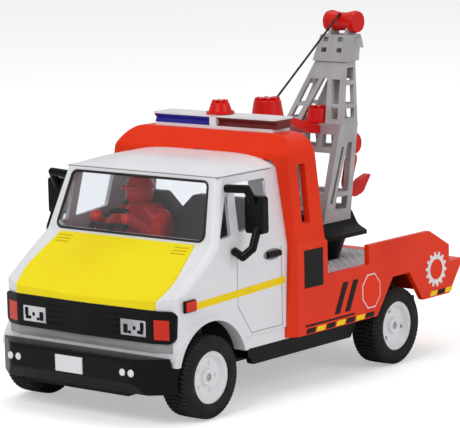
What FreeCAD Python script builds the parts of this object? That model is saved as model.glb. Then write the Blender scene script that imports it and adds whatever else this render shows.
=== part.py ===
"""Toy tow truck: a white forward-control cab, a red rear body with a roll-over hoop, and a turning crane.

Millimetres. +Z is up, the nose points to -Y and the left flank is +X.
The origin lies on the floor under the middle of the truck's length.
Lengths along the truck are given behind the front axle and placed by along().
"""
import FreeCAD, Part
import math
import os
import Sketcher

os.makedirs("parts", exist_ok=True)
doc = FreeCAD.newDocument("TowTruck")

# ---------------------------------------------------------------- driving dimensions
# alias, value (mm or degrees), what it is
SIZES = [
    ("front_axle_y", -52.5, "front axle, from the middle of the truck"),
    ("wheelbase", 92.0, "front axle to rear axle"),
    ("tyre_radius", 12.5, "outside of the tyres"),
    ("tyre_width", 10.4, "tread width"),
    ("track_half", 36.7, "centre line to the tyres' outer faces"),
    ("hub_radius", 7.76, "outside of the hubs"),
    ("hub_wall", 0.9, "rim and web of a hub"),
    ("hub_dish", 1.6, "how far the web stands behind the rim"),
    ("axle_radius", 1.2, "steel axle rods"),
    ("axle_clearance", 0.06, "radial play of an axle in its bearings"),
    ("fit_gap", 0.02, "radial gap of a pressed fit"),
    ("shell", 1.8, "wall of the cab mouldings"),
    ("cab_half", 34.75, "half width of the cab at the belt"),
    ("sill_step", 0.45, "how far the sill stands in"),
    ("sill_z", 17.4, "bottom of the cab"),
    ("ridge_z", 21.4, "top of the sill"),
    ("belt_z", 46.0, "where the flanks start to lean in"),
    ("gutter_half", 30.2, "half width at the roof gutter"),
    ("gutter_z", 69.3, "seam between cab and roof"),
    ("roof_z", 72.7, "crown of the roof at the rear"),
    ("nose_at", -15.2, "front of the bonnet, behind the front axle"),
    ("bonnet_z", 35.3, "front edge of the bonnet"),
    ("screen_foot_at", 5.6, "foot of the windscreen"),
    ("screen_foot_z", 50.0, "foot of the windscreen"),
    ("screen_head_at", 12.2, "head of the windscreen"),
    ("cab_rear_at", 41.4, "rear wall of the cab"),
    ("arch_at", 2.5, "centre of the front wheel arch"),
    ("arch_z", 13.5, "centre of the front wheel arch"),
    ("arch_radius", 15.2, "front wheel arch"),
    ("arch_lip", 4.0, "width of the arch's inner return"),
    ("body_half", 37.7, "half width of the rear body"),
    ("body_wall", 1.8, "wall of the rear body"),
    ("body_z", 17.9, "bottom of the rear body"),
    ("hoop_wall", 2.2, "wall of the hoop"),
    ("hoop_front_at", 36.8, "front of the hoop"),
    ("hoop_rear_at", 53.0, "rear of the hoop"),
    ("hoop_shoulder_half", 33.9, "half width at the hoop's shoulders"),
    ("hoop_z", 78.4, "top of the hoop"),
    ("rail_z", 34.85, "low rail of the bed side"),
    ("fin_z", 40.9, "high rail of the bed side"),
    ("fin_at", 75.5, "start of the high rail"),
    ("tail_at", 119.0, "rear of the bed sides"),
    ("tail_tip_at", 127.0, "rear edge of the tail step"),
    ("deck_z", 30.5, "top of the bed deck"),
    ("deck_thickness", 1.2, "bed deck"),
    ("tread_lift", 0.3, "raised chequered part of the deck in front of the crane"),
    ("wheel_gap", 2.0, "between the chassis and the tyres' inner faces"),
    ("skirt_half", 32.0, "half width of the chassis between the wheels"),
    ("skirt_z", 11.6, "bottom of the chassis skirts"),
    ("bumper_proud", 0.35, "how far the bumper's ends stand out of the cab"),
    ("bumper_top_z", 20.2, "top of the bumper"),
    ("bumper_low_z", 9.6, "bottom of the bumper"),
    ("bumper_nose_at", -21.6, "front face of the bumper"),
    ("turret_at", 98.0, "turning axis of the crane"),
    ("pedestal_foot_radius", 7.0, "cone on the deck"),
    ("pedestal_head_radius", 9.6, "cone under the saddle"),
    ("pedestal_z", 37.4, "top of the cone"),
    ("turret_gap", 0.3, "play between the cone and the saddle"),
    ("pivot_radius", 3.0, "turning pin of the crane"),
    ("pivot_clearance", 0.08, "radial play of the turning pin"),
    ("saddle_half", 11.4, "half width of the saddle"),
    ("saddle_length", 24.0, "length of the saddle"),
    ("saddle_rim", 1.3, "edge of the saddle"),
    ("saddle_crown_z", 46.4, "top of the saddle"),
    ("tower_foot_half", 6.4, "half width of the tower at its foot"),
    ("tower_half", 11.6, "half width of the tower at its ledge"),
    ("tower_head_z", 75.0, "ledge between tower and boom"),
    ("tower_bar", 2.2, "bars of the tower"),
    ("boom_head_z", 94.2, "top of the boom lattice"),
    ("boom_head_half", 6.2, "half width of the boom at its top"),
    ("boom_bar", 1.7, "bars of the boom"),
    ("head_box_z", 102.6, "top of the head box"),
    ("sheave_gap", 0.3, "between the head roller and the head box"),
    ("sheave_at", 114.4, "axis of the head roller"),
    ("sheave_radius", 3.7, "ends of the head roller"),
    ("sheave_half", 6.0, "half length of the head roller"),
    ("sheave_waist", 3.0, "waist of the head roller, where the line lies"),
    ("line_radius", 0.35, "hoist line"),
    ("block_z", 66.0, "centre of the hook block"),
    ("block_radius", 4.0, "hook block"),
    ("block_half", 1.5, "half thickness of the hook block"),
    ("bonnet_half", 28.4, "half width of the bonnet panel"),
    ("bonnet_lift", 0.5, "how far the bonnet panel stands out of the cab"),
    ("winch_at", 73.6, "axis of the winch"),
    ("winch_radius", 5.2, "winch cover"),
    ("arm_top_z", 78.6, "top of the winch arm"),
    ("beacon_radius", 3.9, "small beacons"),
    ("beacon_flange", 0.7, "how far a beacon's flange stands out"),
    ("beacon_height", 5.4, "small beacons"),
]
sheet = doc.addObject("Spreadsheet::Sheet", "Sizes")
for row, (alias, value, note) in enumerate(SIZES, start=1):
    sheet.set(f"A{row}", note)
    sheet.set(f"B{row}", str(value))
    sheet.setAlias(f"B{row}", alias)
doc.recompute()


class Size:
    """The sheet's values by name, for outlines that are worked out here."""


for alias, _, _ in SIZES:
    setattr(Size, alias, float(getattr(sheet, alias)))


def along(behind_front_axle):
    """Y of a station given behind the front axle."""
    return Size.front_axle_y + behind_front_axle


# ---------------------------------------------------------------- outlines
def mirrored(half):
    """A closed outline from its +X half, listed from bottom centre to top centre or edge to edge."""
    return half + [(-u, v, *rest) for u, v, *rest in reversed(half)]


def inset(points, walls):
    """Move each side of a counter-clockwise outline inwards by its wall (one number or one per side)."""
    count = len(points)
    widths = walls if isinstance(walls, list) else [walls] * count
    lines = []
    for i, (u, v, *_) in enumerate(points):
        u2, v2 = points[(i + 1) % count][:2]
        length = math.hypot(u2 - u, v2 - v)
        normal = (-(v2 - v) / length, (u2 - u) / length)
        lines.append((u + normal[0] * widths[i], v + normal[1] * widths[i], u2 - u, v2 - v))
    moved = []
    for i in range(count):
        ax, ay, adx, ady = lines[i - 1]
        bx, by, bdx, bdy = lines[i]
        step = ((bx - ax) * bdy - (by - ay) * bdx) / (adx * bdy - ady * bdx)
        moved.append((ax + adx * step, ay + ady * step, *points[i][2:]))
    return moved


def draw(sketch, points):
    """Lay a closed outline of (u, v) or (u, v, corner radius) into a sketch, with tangent arcs at the corners."""
    corners = []
    count = len(points)
    for i, (u, v, *rest) in enumerate(points):
        here = FreeCAD.Vector(u, v, 0)
        before = FreeCAD.Vector(*points[i - 1][:2], 0)
        after = FreeCAD.Vector(*points[(i + 1) % count][:2], 0)
        radius = rest[0] if rest else 0.0
        if radius <= 0:
            corners.append((here, here, None))
            continue
        to_before = (before - here).normalize()
        to_after = (after - here).normalize()
        half_angle = to_before.getAngle(to_after) / 2
        reach = radius / math.tan(half_angle)
        centre = here + (to_before + to_after).normalize() * (radius / math.sin(half_angle))
        middle = centre + (here - centre).normalize() * radius
        corners.append((here + to_before * reach, here + to_after * reach, middle))
    for i, (start, end, middle) in enumerate(corners):
        if middle is not None:
            sketch.addGeometry(Part.Arc(start, middle, end), False)
        following = corners[(i + 1) % count][0]
        if (following - end).Length > 1e-6:
            sketch.addGeometry(Part.LineSegment(end, following), False)


PLANE_ROLE = {"side": "YZ_Plane", "front": "XZ_Plane", "plan": "XY_Plane"}


def prism(name, plane, points, start, length):
    """A PartDesign body: an outline in the side (Y,Z), front (X,Z) or plan (X,Y) plane, padded.

    start and length are expressions or numbers; front outlines run towards +Y from start.
    """
    body = doc.addObject("PartDesign::Body", name)
    sketch = body.newObject("Sketcher::SketchObject", name + "_outline")
    plane_object = [f for f in body.Origin.OriginFeatures if f.Role == PLANE_ROLE[plane]][0]
    sketch.AttachmentSupport = [(plane_object, "")]
    sketch.MapMode = "FlatFace"
    offset = f"-(({start}) + ({length}))" if plane == "front" else f"{start}"
    sketch.setExpression("AttachmentOffset.Base.z", offset)
    draw(sketch, points)
    pad = body.newObject("PartDesign::Pad", name + "_pad")
    pad.Profile = sketch
    pad.setExpression("Length", f"{length}")
    body.Tip = pad
    return body


def turned(name, points, axis="X", centre=(0, 0, 0)):
    """A PartDesign body turned a full turn about a line along X or Z; points are (along, radius)."""
    body = doc.addObject("PartDesign::Body", name)
    sketch = body.newObject("Sketcher::SketchObject", name + "_outline")
    role = "XZ_Plane"
    plane_object = [f for f in body.Origin.OriginFeatures if f.Role == role][0]
    sketch.AttachmentSupport = [(plane_object, "")]
    sketch.MapMode = "FlatFace"
    draw(sketch, [(a, r, *rest) if axis == "X" else (r, a, *rest) for a, r, *rest in points])
    spin = body.newObject("PartDesign::Revolution", name + "_turn")
    spin.Profile = sketch
    spin.ReferenceAxis = (sketch, ["H_Axis" if axis == "X" else "V_Axis"])
    spin.Angle = 360.0
    body.Tip = spin
    body.Placement = FreeCAD.Placement(FreeCAD.Vector(*centre), FreeCAD.Rotation())
    return body


def rod(name, start, end, radius):
    """A Part::Cylinder between two points; radius is an expression or a number."""
    run = FreeCAD.Vector(*end) - FreeCAD.Vector(*start)
    bar = doc.addObject("Part::Cylinder", name)
    bar.setExpression("Radius", f"{radius}")
    bar.Height = run.Length
    bar.Placement = FreeCAD.Placement(FreeCAD.Vector(*start), FreeCAD.Rotation(FreeCAD.Vector(0, 0, 1), run))
    return bar


def ball(name, centre, radius):
    orb = doc.addObject("Part::Sphere", name)
    orb.Radius = radius
    orb.Placement = FreeCAD.Placement(FreeCAD.Vector(*centre), FreeCAD.Rotation())
    return orb


def block(name, low, high):
    """A Part::Box between two corners."""
    box = doc.addObject("Part::Box", name)
    box.Length, box.Width, box.Height = (high[i] - low[i] for i in range(3))
    box.Placement = FreeCAD.Placement(FreeCAD.Vector(*low), FreeCAD.Rotation())
    return box


def fuse(name, pieces):
    joined = doc.addObject("Part::MultiFuse", name)
    joined.Shapes = pieces
    joined.Refine = True
    return joined


def common(name, pieces):
    shared = doc.addObject("Part::MultiCommon", name)
    shared.Shapes = pieces
    return shared


def cut(name, base, tools):
    """Base less one tool or several."""
    tool = tools[0] if len(tools) == 1 else fuse(name + "_tools", tools)
    rest = doc.addObject("Part::Cut", name)
    rest.Base = base
    rest.Tool = tool
    rest.Refine = True
    return rest


def rounded(name, base, radius, wanted):
    """Part::Fillet on the edges whose middle point and direction pass the test wanted(middle, edge)."""
    doc.recompute()
    picked = []
    for number, edge in enumerate(base.Shape.Edges, start=1):
        middle = edge.valueAt((edge.FirstParameter + edge.LastParameter) / 2)
        if wanted(middle, edge):
            picked.append((number, radius, radius))
    if not picked:
        raise RuntimeError(name + ": no edge to round")
    fillet = doc.addObject("Part::Fillet", name)
    fillet.Base = base
    fillet.Edges = picked
    return fillet


def pair(name, piece):
    """A piece and its mirror image across the centre plane, as one compound."""
    image = doc.addObject("Part::Mirroring", name + "_image")
    image.Source = piece
    image.Normal = (1, 0, 0)
    both = doc.addObject("Part::Compound", name)
    both.Links = [piece, image]
    return both


def mirror(name, piece):
    image = doc.addObject("Part::Mirroring", name)
    image.Source = piece
    image.Normal = (1, 0, 0)
    return image


NODES = {}


def node(label, piece):
    """Name a finished sub-part: its label is its file's name."""
    piece.Label = label
    NODES[label] = piece
    return piece


s = Size
chassis_half = s.track_half - s.tyre_width - s.wheel_gap
bumper_half = s.cab_half + s.bumper_proud
sheave_z = s.head_box_z + s.sheave_gap + s.sheave_radius
deck_under = s.deck_z - s.deck_thickness

# ---------------------------------------------------------------- cab mouldings
# Three outlines cross to make the cab: seen from the side, from the front and from above.
CAB_SIDE = [
    (along(s.nose_at + 0.9), s.sill_z), (along(s.cab_rear_at), s.sill_z), (along(s.cab_rear_at), s.roof_z),
    (along(s.screen_head_at + 3.4), s.roof_z - 1.6, 5.0), (along(s.screen_head_at), s.gutter_z),
    (along(s.screen_foot_at), s.screen_foot_z, 3.0), (along(s.nose_at), s.bonnet_z, 1.2),
]
CAB_FRONT = mirrored([
    (s.cab_half - s.sill_step, s.sill_z), (s.cab_half - s.sill_step, s.ridge_z - 0.4), (s.cab_half, s.ridge_z),
    (s.cab_half, s.belt_z, 6.0), (s.gutter_half, s.gutter_z), (s.gutter_half - 1.6, s.gutter_z + 1.7, 1.6),
    (0.0, s.roof_z + 0.05),
])
CAB_FRONT.pop(len(CAB_FRONT) // 2)      # the crown point is on the centre line: keep it once
CAB_PLAN = [
    (s.cab_half - 7.75, along(s.nose_at + 0.9), 10.0), (s.cab_half - 1.0, along(s.nose_at + 3.3), 2.0),
    (s.cab_half, along(s.nose_at + 7.0)), (s.cab_half, along(s.cab_rear_at)),
]
CAB_PLAN = CAB_PLAN + [(-u, v, *r) for u, v, *r in reversed(CAB_PLAN)] + [(0.0, along(s.nose_at))]


def cab_solid(name, wall, drop):
    """The cab's outer form, or with a wall its hollow, which runs out through the bottom by drop."""
    side, front, plan = (inset(o, wall) if wall else o for o in (CAB_SIDE, CAB_FRONT, CAB_PLAN))
    low = s.sill_z - drop
    side = [(u, low, *r) if v < s.ridge_z - 1 else (u, v, *r) for u, v, *r in side]
    front = [(u, low, *r) if v < s.ridge_z - 2 else (u, v, *r) for u, v, *r in front]
    half = "Sizes.cab_half + 2"
    return common(name, [
        prism(name + "_side", "side", side, f"-({half})", f"2 * ({half})"),
        prism(name + "_front", "front", front, along(s.nose_at) - 2, s.cab_rear_at - s.nose_at + 4),
        prism(name + "_plan", "plan", plan, low - 1, s.roof_z - low + 4),
    ])


cab_outer = cab_solid("cab_outer", 0, 0)
cab_outer = rounded(
    "cab_soft", cab_outer, 2.2,
    lambda m, e: abs(m.x) > 31 and along(s.nose_at + 4) < m.y < along(s.screen_foot_at - 1)
    and m.z > s.bonnet_z and e.Length > 8)
cab_inner = cab_solid("cab_inner", s.shell, 2.0)

ARCH = (0.0, along(s.arch_at), s.arch_z)


def arch_disc(name, radius, x_low, x_high):
    return rod(name, (x_low, ARCH[1], ARCH[2]), (x_high, ARCH[1], ARCH[2]), radius)


FLARE = 0.35            # how far the arch's rim stands out of the flank
FLARE_WIDTH = 1.5
lip_rings = []
for side_name, sign in (("left", 1), ("right", -1)):
    inner_x, outer_x = sorted((sign * (s.cab_half - s.arch_lip), sign * (s.cab_half + FLARE)))
    lip_rings.append(arch_disc("lip_" + side_name, f"Sizes.arch_radius + {FLARE_WIDTH}", inner_x, outer_x))
above_sill = block("above_sill", (-60, along(s.nose_at + 1.2), s.sill_z), (60, along(s.cab_rear_at), 60))
lips = common("lips", [fuse("lip_discs", lip_rings), above_sill])

# Window outlines, seen from the front (X, Z) and from the side (Y, Z)
SCREEN = mirrored([(29.2, s.screen_foot_z + 1.0, 2.0), (27.1, s.gutter_z - 1.5, 2.0)])
REAR_WINDOW = mirrored([(20.0, 52.0, 2.0), (18.5, 66.0, 2.0)])
QUARTER_WINDOW = [(along(8.2), 51.6, 0.5), (along(13.9), 52.0, 0.5), (along(15.2), 63.6, 0.4),
                  (along(13.9), 63.8, 0.4)]
DOOR_WINDOW = [(along(17.2), 52.4, 0.8), (along(31.8), 54.0, 1.2), (along(33.4), 66.8, 1.2), (along(18.4), 66.8, 0.8)]
screen_cut = prism("screen_cut", "front", SCREEN, along(s.nose_at + 8), s.screen_head_at - s.nose_at)
rear_cut = prism("rear_cut", "front", REAR_WINDOW, along(s.cab_rear_at) - 2 * s.shell, 4 * s.shell)
quarter_cut = prism("quarter_cut", "side", QUARTER_WINDOW, -60, 120)
door_cut = prism("door_cut", "side", DOOR_WINDOW, -60, 120)
arch_cut = arch_disc("arch_cut", "Sizes.arch_radius", -60, 60)

cab_walls = cut("cab_walls", fuse("cab_with_lips", [cut("cab_hollow", cab_outer, [cab_inner]), lips]),
                [arch_cut, screen_cut, rear_cut, quarter_cut, door_cut])
roof_space = block("roof_space", (-60, along(s.nose_at), s.gutter_z), (60, along(s.cab_rear_at), 90))
node("cab_shell", cut("cab_shell", cab_walls, [roof_space]))
node("cab_roof", common("cab_roof", [cut("roof_moulding", cab_outer, [cab_inner]), roof_space]))

# ---------------------------------------------------------------- bonnet panel
BONNET_PLAN = [
    (s.bonnet_half - 2.0, along(s.nose_at) - 3.0), (s.bonnet_half + 1.0, along(s.nose_at + 7.0), 12.0),
    (s.bonnet_half - 2.0, along(s.screen_foot_at + 0.4), 2.0)]
BONNET_PLAN = BONNET_PLAN + [(-u, v, *r) for u, v, *r in reversed(BONNET_PLAN)]
LIP_Z = s.bonnet_z - 1.5        # the panel's front edge turns down to here
bonnet_blank = common("bonnet_blank", [
    cab_solid("bonnet_skin", -s.bonnet_lift, 0.0),
    prism("bonnet_plan", "plan", BONNET_PLAN, LIP_Z, s.screen_foot_z - LIP_Z)])
node("bonnet", cut("bonnet", bonnet_blank, [cab_solid("bonnet_bed", 0, 0)]))

# ---------------------------------------------------------------- glazing
GLASS = 0.8             # thickness of the clear mouldings
GLASS_BACK = 0.5        # how far they sit behind the outer face


def slanted_slab(name, plane, foot, head, start, length):
    """A slab behind the line foot to head, GLASS_BACK below the outer face and GLASS thick."""
    run = math.hypot(head[0] - foot[0], head[1] - foot[1])
    step = ((head[1] - foot[1]) / run, -(head[0] - foot[0]) / run)
    inner, outer = GLASS_BACK + GLASS, GLASS_BACK
    return prism(name, plane, [
        (foot[0] + step[0] * outer, foot[1] + step[1] * outer), (foot[0] + step[0] * inner, foot[1] + step[1] * inner),
        (head[0] + step[0] * inner, head[1] + step[1] * inner), (head[0] + step[0] * outer, head[1] + step[1] * outer),
    ], start, length)


node("windscreen", common("windscreen", [
    prism("screen_blank", "front", SCREEN, along(s.nose_at + 8), s.screen_head_at - s.nose_at),
    slanted_slab("screen_slab", "side", (along(s.screen_foot_at), s.screen_foot_z),
                 (along(s.screen_head_at), s.gutter_z), -40, 80)]))
node("rear_window", common("rear_window", [
    prism("rear_blank", "front", REAR_WINDOW, along(s.cab_rear_at) - 2 * s.shell, 4 * s.shell),
    block("rear_slab", (-40, along(s.cab_rear_at) - 0.5 - GLASS, 40), (40, along(s.cab_rear_at) - 0.5, 80))]))
side_slab = slanted_slab("side_slab", "front", (-s.cab_half, s.belt_z), (-s.gutter_half, s.gutter_z),
                         along(0), s.cab_rear_at)
side_glass = common("side_glass", [
    fuse("side_blanks", [prism("quarter_blank", "side", QUARTER_WINDOW, -60, 60),
                         prism("door_blank", "side", DOOR_WINDOW, -60, 60)]),
    side_slab])
node("side_windows", pair("side_windows", side_glass))

# ---------------------------------------------------------------- front panel, lamps and bumper
PANEL = 1.0             # thickness of the black front panel, which stands on the cab's nose
PANEL_PLAN = [
    (0.0, along(s.nose_at) - PANEL + 0.4), (s.cab_half - 7.75, along(s.nose_at + 0.9) - PANEL + 0.4, 8.0),
    (s.cab_half - 0.6, along(s.nose_at + 3.3) - PANEL + 0.4, 1.5), (s.cab_half - 0.6, along(s.nose_at + 6.4)),
    (0.0, along(s.nose_at + 6.4)),
]
PANEL_PLAN = PANEL_PLAN[1:4] + [(-u, v, *r) for u, v, *r in reversed(PANEL_PLAN[1:4])] + [PANEL_PLAN[0]]
PANEL_FACE = mirrored([(s.cab_half - 1.2, 24.0, 2.4), (s.cab_half - 0.9, 33.6, 1.8)])
panel_blank = common("panel_blank", [
    prism("panel_plan", "plan", PANEL_PLAN, 20, 20),
    prism("panel_face", "front", PANEL_FACE, along(s.nose_at) - 3, 12)])
# name, inner x, outer x, low z, high z of the left lamps' recesses
LAMPS = [("headlamp", 15.0, 24.4, 25.7, 30.4), ("indicator", 27.3, 31.9, 25.2, 31.0)]
lamp_recesses = []
lamp_pieces = {}
for lamp, x_in, x_out, z_low, z_high in LAMPS:
    hole = block(lamp + "_hole", (x_in, along(s.nose_at) - 5, z_low), (x_out, along(s.nose_at) + 8, z_high))
    lamp_recesses.append(hole)
panel_body = cut("panel_body", panel_blank, [cab_solid("panel_back", 0, 0)])
both_holes = pair("lamp_holes", fuse("lamp_hole_pair", lamp_recesses))
node("front_panel", cut("front_panel", panel_body, [both_holes]))
for lamp, x_in, x_out, z_low, z_high in LAMPS:
    lens = common(lamp + "_lens", [
        block(lamp + "_blank", (x_in, along(s.nose_at) - 5, z_low), (x_out, along(s.nose_at) + 8, z_high)), panel_body])
    lamp_pieces[lamp] = pair(lamp + "s", lens)
node("headlamps", lamp_pieces["headlamp"])
node("indicators", lamp_pieces["indicator"])
MARKER = (along(-10.4), along(-6.0), 33.2, 36.1)
marker = block("marker", (s.cab_half, MARKER[0] + 1.0, MARKER[2]), (s.cab_half + 0.8, MARKER[1] + 1.0, MARKER[3]))
node("side_markers", pair("side_markers", marker))

BUMPER_PLAN = [
    (bumper_half - 10.6, along(s.bumper_nose_at), 4.0), (bumper_half, along(s.nose_at + 2.2), 2.5),
    (bumper_half, along(s.nose_at + 4.2)), (0.0, along(s.nose_at + 4.2)),
]
BUMPER_PLAN = BUMPER_PLAN[:3] + [(-u, v, *r) for u, v, *r in reversed(BUMPER_PLAN[:3])]
BUMPER_SIDE = [
    (along(s.bumper_nose_at) + 2.4, s.bumper_low_z, 0.8), (along(s.nose_at + 4.2), s.bumper_low_z),
    (along(s.nose_at + 4.2), s.sill_z), (along(s.nose_at + 0.9), s.sill_z), (along(s.nose_at + 0.6), s.bumper_top_z),
    (along(s.bumper_nose_at), s.bumper_top_z, 1.0), (along(s.bumper_nose_at), s.bumper_low_z + 3.6, 1.2),
]
bumper_bar = common("bumper_bar", [
    prism("bumper_plan", "plan", BUMPER_PLAN, 0, 40), prism("bumper_side", "side", BUMPER_SIDE, -60, 120)])
chin = prism("chin", "front", mirrored([(20.0, s.bumper_low_z - 1.2), (23.5, s.bumper_low_z + 1.0)]),
             along(s.bumper_nose_at) + 3.2, 5.0)
bumper_whole = fuse("bumper_whole", [bumper_bar, chin])
bumper_clear = rod("bumper_clear", (-60, along(0), s.tyre_radius), (60, along(0), s.tyre_radius),
                   "Sizes.tyre_radius + 0.8")
node("front_bumper", cut("front_bumper", bumper_whole, [cab_solid("bumper_back", 0, 0), bumper_clear]))
PLATE = (5.3, 13.5, 19.0)      # half width, low and high edge of the blank number plate
node("number_plate", block("number_plate", (-PLATE[0], along(s.bumper_nose_at) - 0.4, PLATE[1] + 0.3),
                           (PLATE[0], along(s.bumper_nose_at), PLATE[2] - 0.3)))

# ---------------------------------------------------------------- chassis
CHASSIS_TOP = s.sill_z - 0.2
AXLE_STATIONS = (("front", 0.0), ("rear", s.wheelbase))
spine = prism("spine", "plan", [
    (-chassis_half, along(s.nose_at + 4.4)), (chassis_half, along(s.nose_at + 4.4)),
    (chassis_half, along(20.0)), (s.skirt_half, along(22.0)), (s.skirt_half, along(76.0)),
    (chassis_half, along(78.0)), (chassis_half, along(s.tail_at - 1.0)), (-chassis_half, along(s.tail_at - 1.0)),
    (-chassis_half, along(78.0)), (-s.skirt_half, along(76.0)), (-s.skirt_half, along(22.0)),
    (-chassis_half, along(20.0))], 13.8, CHASSIS_TOP - 13.8)
chassis_pieces = [spine]
for side_name, sign in (("left", 1), ("right", -1)):
    inner_x, outer_x = sorted((sign * (s.skirt_half - 2.0), sign * s.skirt_half))
    chassis_pieces.append(prism("skirt_" + side_name, "side", [
        (along(24.0), s.skirt_z, 1.0), (along(73.0), s.skirt_z, 1.0), (along(76.0), CHASSIS_TOP),
        (along(22.0), CHASSIS_TOP)], inner_x, outer_x - inner_x))
    inner_x, outer_x = sorted((sign * (chassis_half - 2.0), sign * chassis_half))
    for end_name, station in AXLE_STATIONS:
        chassis_pieces.append(block(f"bearing_{end_name}_{side_name}", (inner_x, along(station - 3.6), 9.6),
                                    (outer_x, along(station + 3.6), 14.0)))
    # the inner walls of the rear wheel boxes carry the deck
    chassis_pieces.append(block("wheel_box_" + side_name, (inner_x, along(77.0), 14.0),
                                (outer_x, along(107.0), deck_under)))
chassis_pieces.append(prism("tail_strut", "side", [
    (along(108.0), 14.0), (along(117.0), 14.0), (along(117.0), deck_under), (along(112.0), deck_under)], -10, 20))
FUEL_TANK = [(along(30.0), 9.2, 1.5), (along(60.0), 9.2, 1.5), (along(60.0), 14.0), (along(30.0), 14.0)]
chassis_pieces.append(prism("tank", "side", FUEL_TANK, -18, 36))
axle_bores = [rod(f"bore_{end_name}", (-60, along(station), s.tyre_radius), (60, along(station), s.tyre_radius),
                  "Sizes.axle_radius + Sizes.axle_clearance") for end_name, station in AXLE_STATIONS]
node("chassis", cut("chassis", fuse("chassis_blank", chassis_pieces), axle_bores))

# ---------------------------------------------------------------- rear body and hoop
HOOP_FRONT = mirrored([
    (s.body_half, s.body_z), (s.body_half, s.belt_z + 0.5, 8.0), (s.hoop_shoulder_half, s.hoop_z, 8.0)])
HOOP_SIDE = [
    (along(s.hoop_front_at), s.body_z), (along(s.hoop_rear_at), s.body_z), (along(s.hoop_rear_at), s.hoop_z, 2.0),
    (along(s.hoop_front_at + 8.0), s.hoop_z, 1.5), (along(s.hoop_front_at + 2.6), s.roof_z - 0.2, 3.0),
    (along(s.hoop_front_at + 1.6), s.belt_z, 20.0),
]
CHAMFER = s.body_half - s.cab_half - 0.2
HOOP_PLAN = [
    (s.body_half - CHAMFER, along(s.hoop_front_at)), (s.body_half, along(s.hoop_front_at + CHAMFER)),
    (s.body_half, along(s.hoop_rear_at))]
HOOP_PLAN = HOOP_PLAN + [(-u, v) for u, v in reversed(HOOP_PLAN)]


def hoop_solid(name, wall, drop, back):
    side, front, plan = (inset(o, wall) if wall else o for o in (HOOP_SIDE, HOOP_FRONT, HOOP_PLAN))
    low = s.body_z - drop
    side = [(u, low, *r) if v < s.body_z + 4 else (u, v, *r) for u, v, *r in side]
    side = [(along(s.hoop_rear_at) + back, v) if u > along(s.hoop_rear_at) - 4 else (u, v, *r) for u, v, *r in side]
    front = [(u, low, *r) if v < s.body_z + 4 else (u, v, *r) for u, v, *r in front]
    plan = [(u, along(s.hoop_rear_at) + back) if v > along(s.hoop_rear_at) - 4 else (u, v) for u, v in plan]
    return common(name, [
        prism(name + "_side", "side", side, -60, 120),
        prism(name + "_front", "front", front, along(s.hoop_front_at) - 2, s.hoop_rear_at - s.hoop_front_at + 8),
        prism(name + "_plan", "plan", plan, low - 1, s.hoop_z - low + 4)])


hoop_outer = hoop_solid("hoop_outer", 0, 0, 0)
hoop_hollow = hoop_solid("hoop_hollow", s.hoop_wall, 2.0, 4.0)
CAB_PLAY = 0.15
cab_mouth_outline = inset(CAB_FRONT, -CAB_PLAY)
cab_mouth_outline = [(u, v - 4, *r) if v < s.ridge_z - 2 else (u, v, *r) for u, v, *r in cab_mouth_outline]
cab_mouth = prism("cab_mouth", "front", cab_mouth_outline, along(s.hoop_front_at) - 2, s.hoop_wall + 6)
SLOT = [(along(43.0), 52.0, 0.5), (along(47.0), 52.0, 0.5), (along(47.4), 69.8, 0.5), (along(43.6), 69.8, 0.5)]
slots = prism("slots", "side", SLOT, -60, 120)
hoop = cut("hoop", hoop_outer, [hoop_hollow, cab_mouth, slots])

BED_SIDE = [
    (along(s.hoop_rear_at), s.body_z), (along(79.4), s.body_z), (along(88.0), 29.1), (along(97.0), 29.1),
    (along(104.2), 19.1), (along(s.tail_at), 19.1), (along(s.tail_tip_at), 29.6), (along(s.tail_at), 29.6),
    (along(s.tail_at), 35.1), (along(108.3), s.fin_z), (along(s.fin_at), s.fin_z), (along(s.fin_at), s.rail_z),
    (along(54.4), s.rail_z), (along(54.4), 45.4), (along(s.hoop_rear_at), 46.4),
]
bed_sides = []
for side_name, sign in (("left", 1), ("right", -1)):
    inner_x, outer_x = sorted((sign * (s.body_half - s.body_wall), sign * s.body_half))
    bed_sides.append(prism("bed_" + side_name, "side", BED_SIDE, inner_x, s.body_wall))
tail_step = prism("tail_step", "side", [
    (along(s.tail_at), 19.1), (along(s.tail_tip_at), 29.6), (along(s.tail_at), 29.6)],
    "-Sizes.body_half", "2 * Sizes.body_half")
tail_wall = block("tail_wall", (-s.body_half, along(s.tail_at) - 1.0, 19.1), (s.body_half, along(s.tail_at), 29.6))
rear_body = fuse("rear_body", [hoop, *bed_sides, tail_step, tail_wall])
node("rear_body", rear_body)

deck_half = s.body_half - s.body_wall
deck_plate = block("deck_plate", (-deck_half, along(s.hoop_rear_at), deck_under),
                   (deck_half, along(s.tail_at) - 1.0, s.deck_z))
tread_rear = along(s.turret_at) - s.saddle_length / 2 - 0.5
tread = block("tread", (-deck_half + 0.6, along(s.hoop_rear_at) + 0.6, s.deck_z),
              (deck_half - 0.6, tread_rear, s.deck_z + s.tread_lift))
front_wall = block("front_wall", (-deck_half, along(s.hoop_rear_at), s.body_z + 1.0),
                   (deck_half, along(s.hoop_rear_at) + 1.0, deck_under))
node("bed_deck", fuse("bed_deck", [deck_plate, front_wall, tread]))
tail_lamp = block("tail_lamp", (24.0, along(s.tail_at), s.deck_z - 0.9), (33.0, along(s.tail_at) + 1.6, s.deck_z + 3.0))
node("tail_lamps", pair("tail_lamps", tail_lamp))

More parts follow.
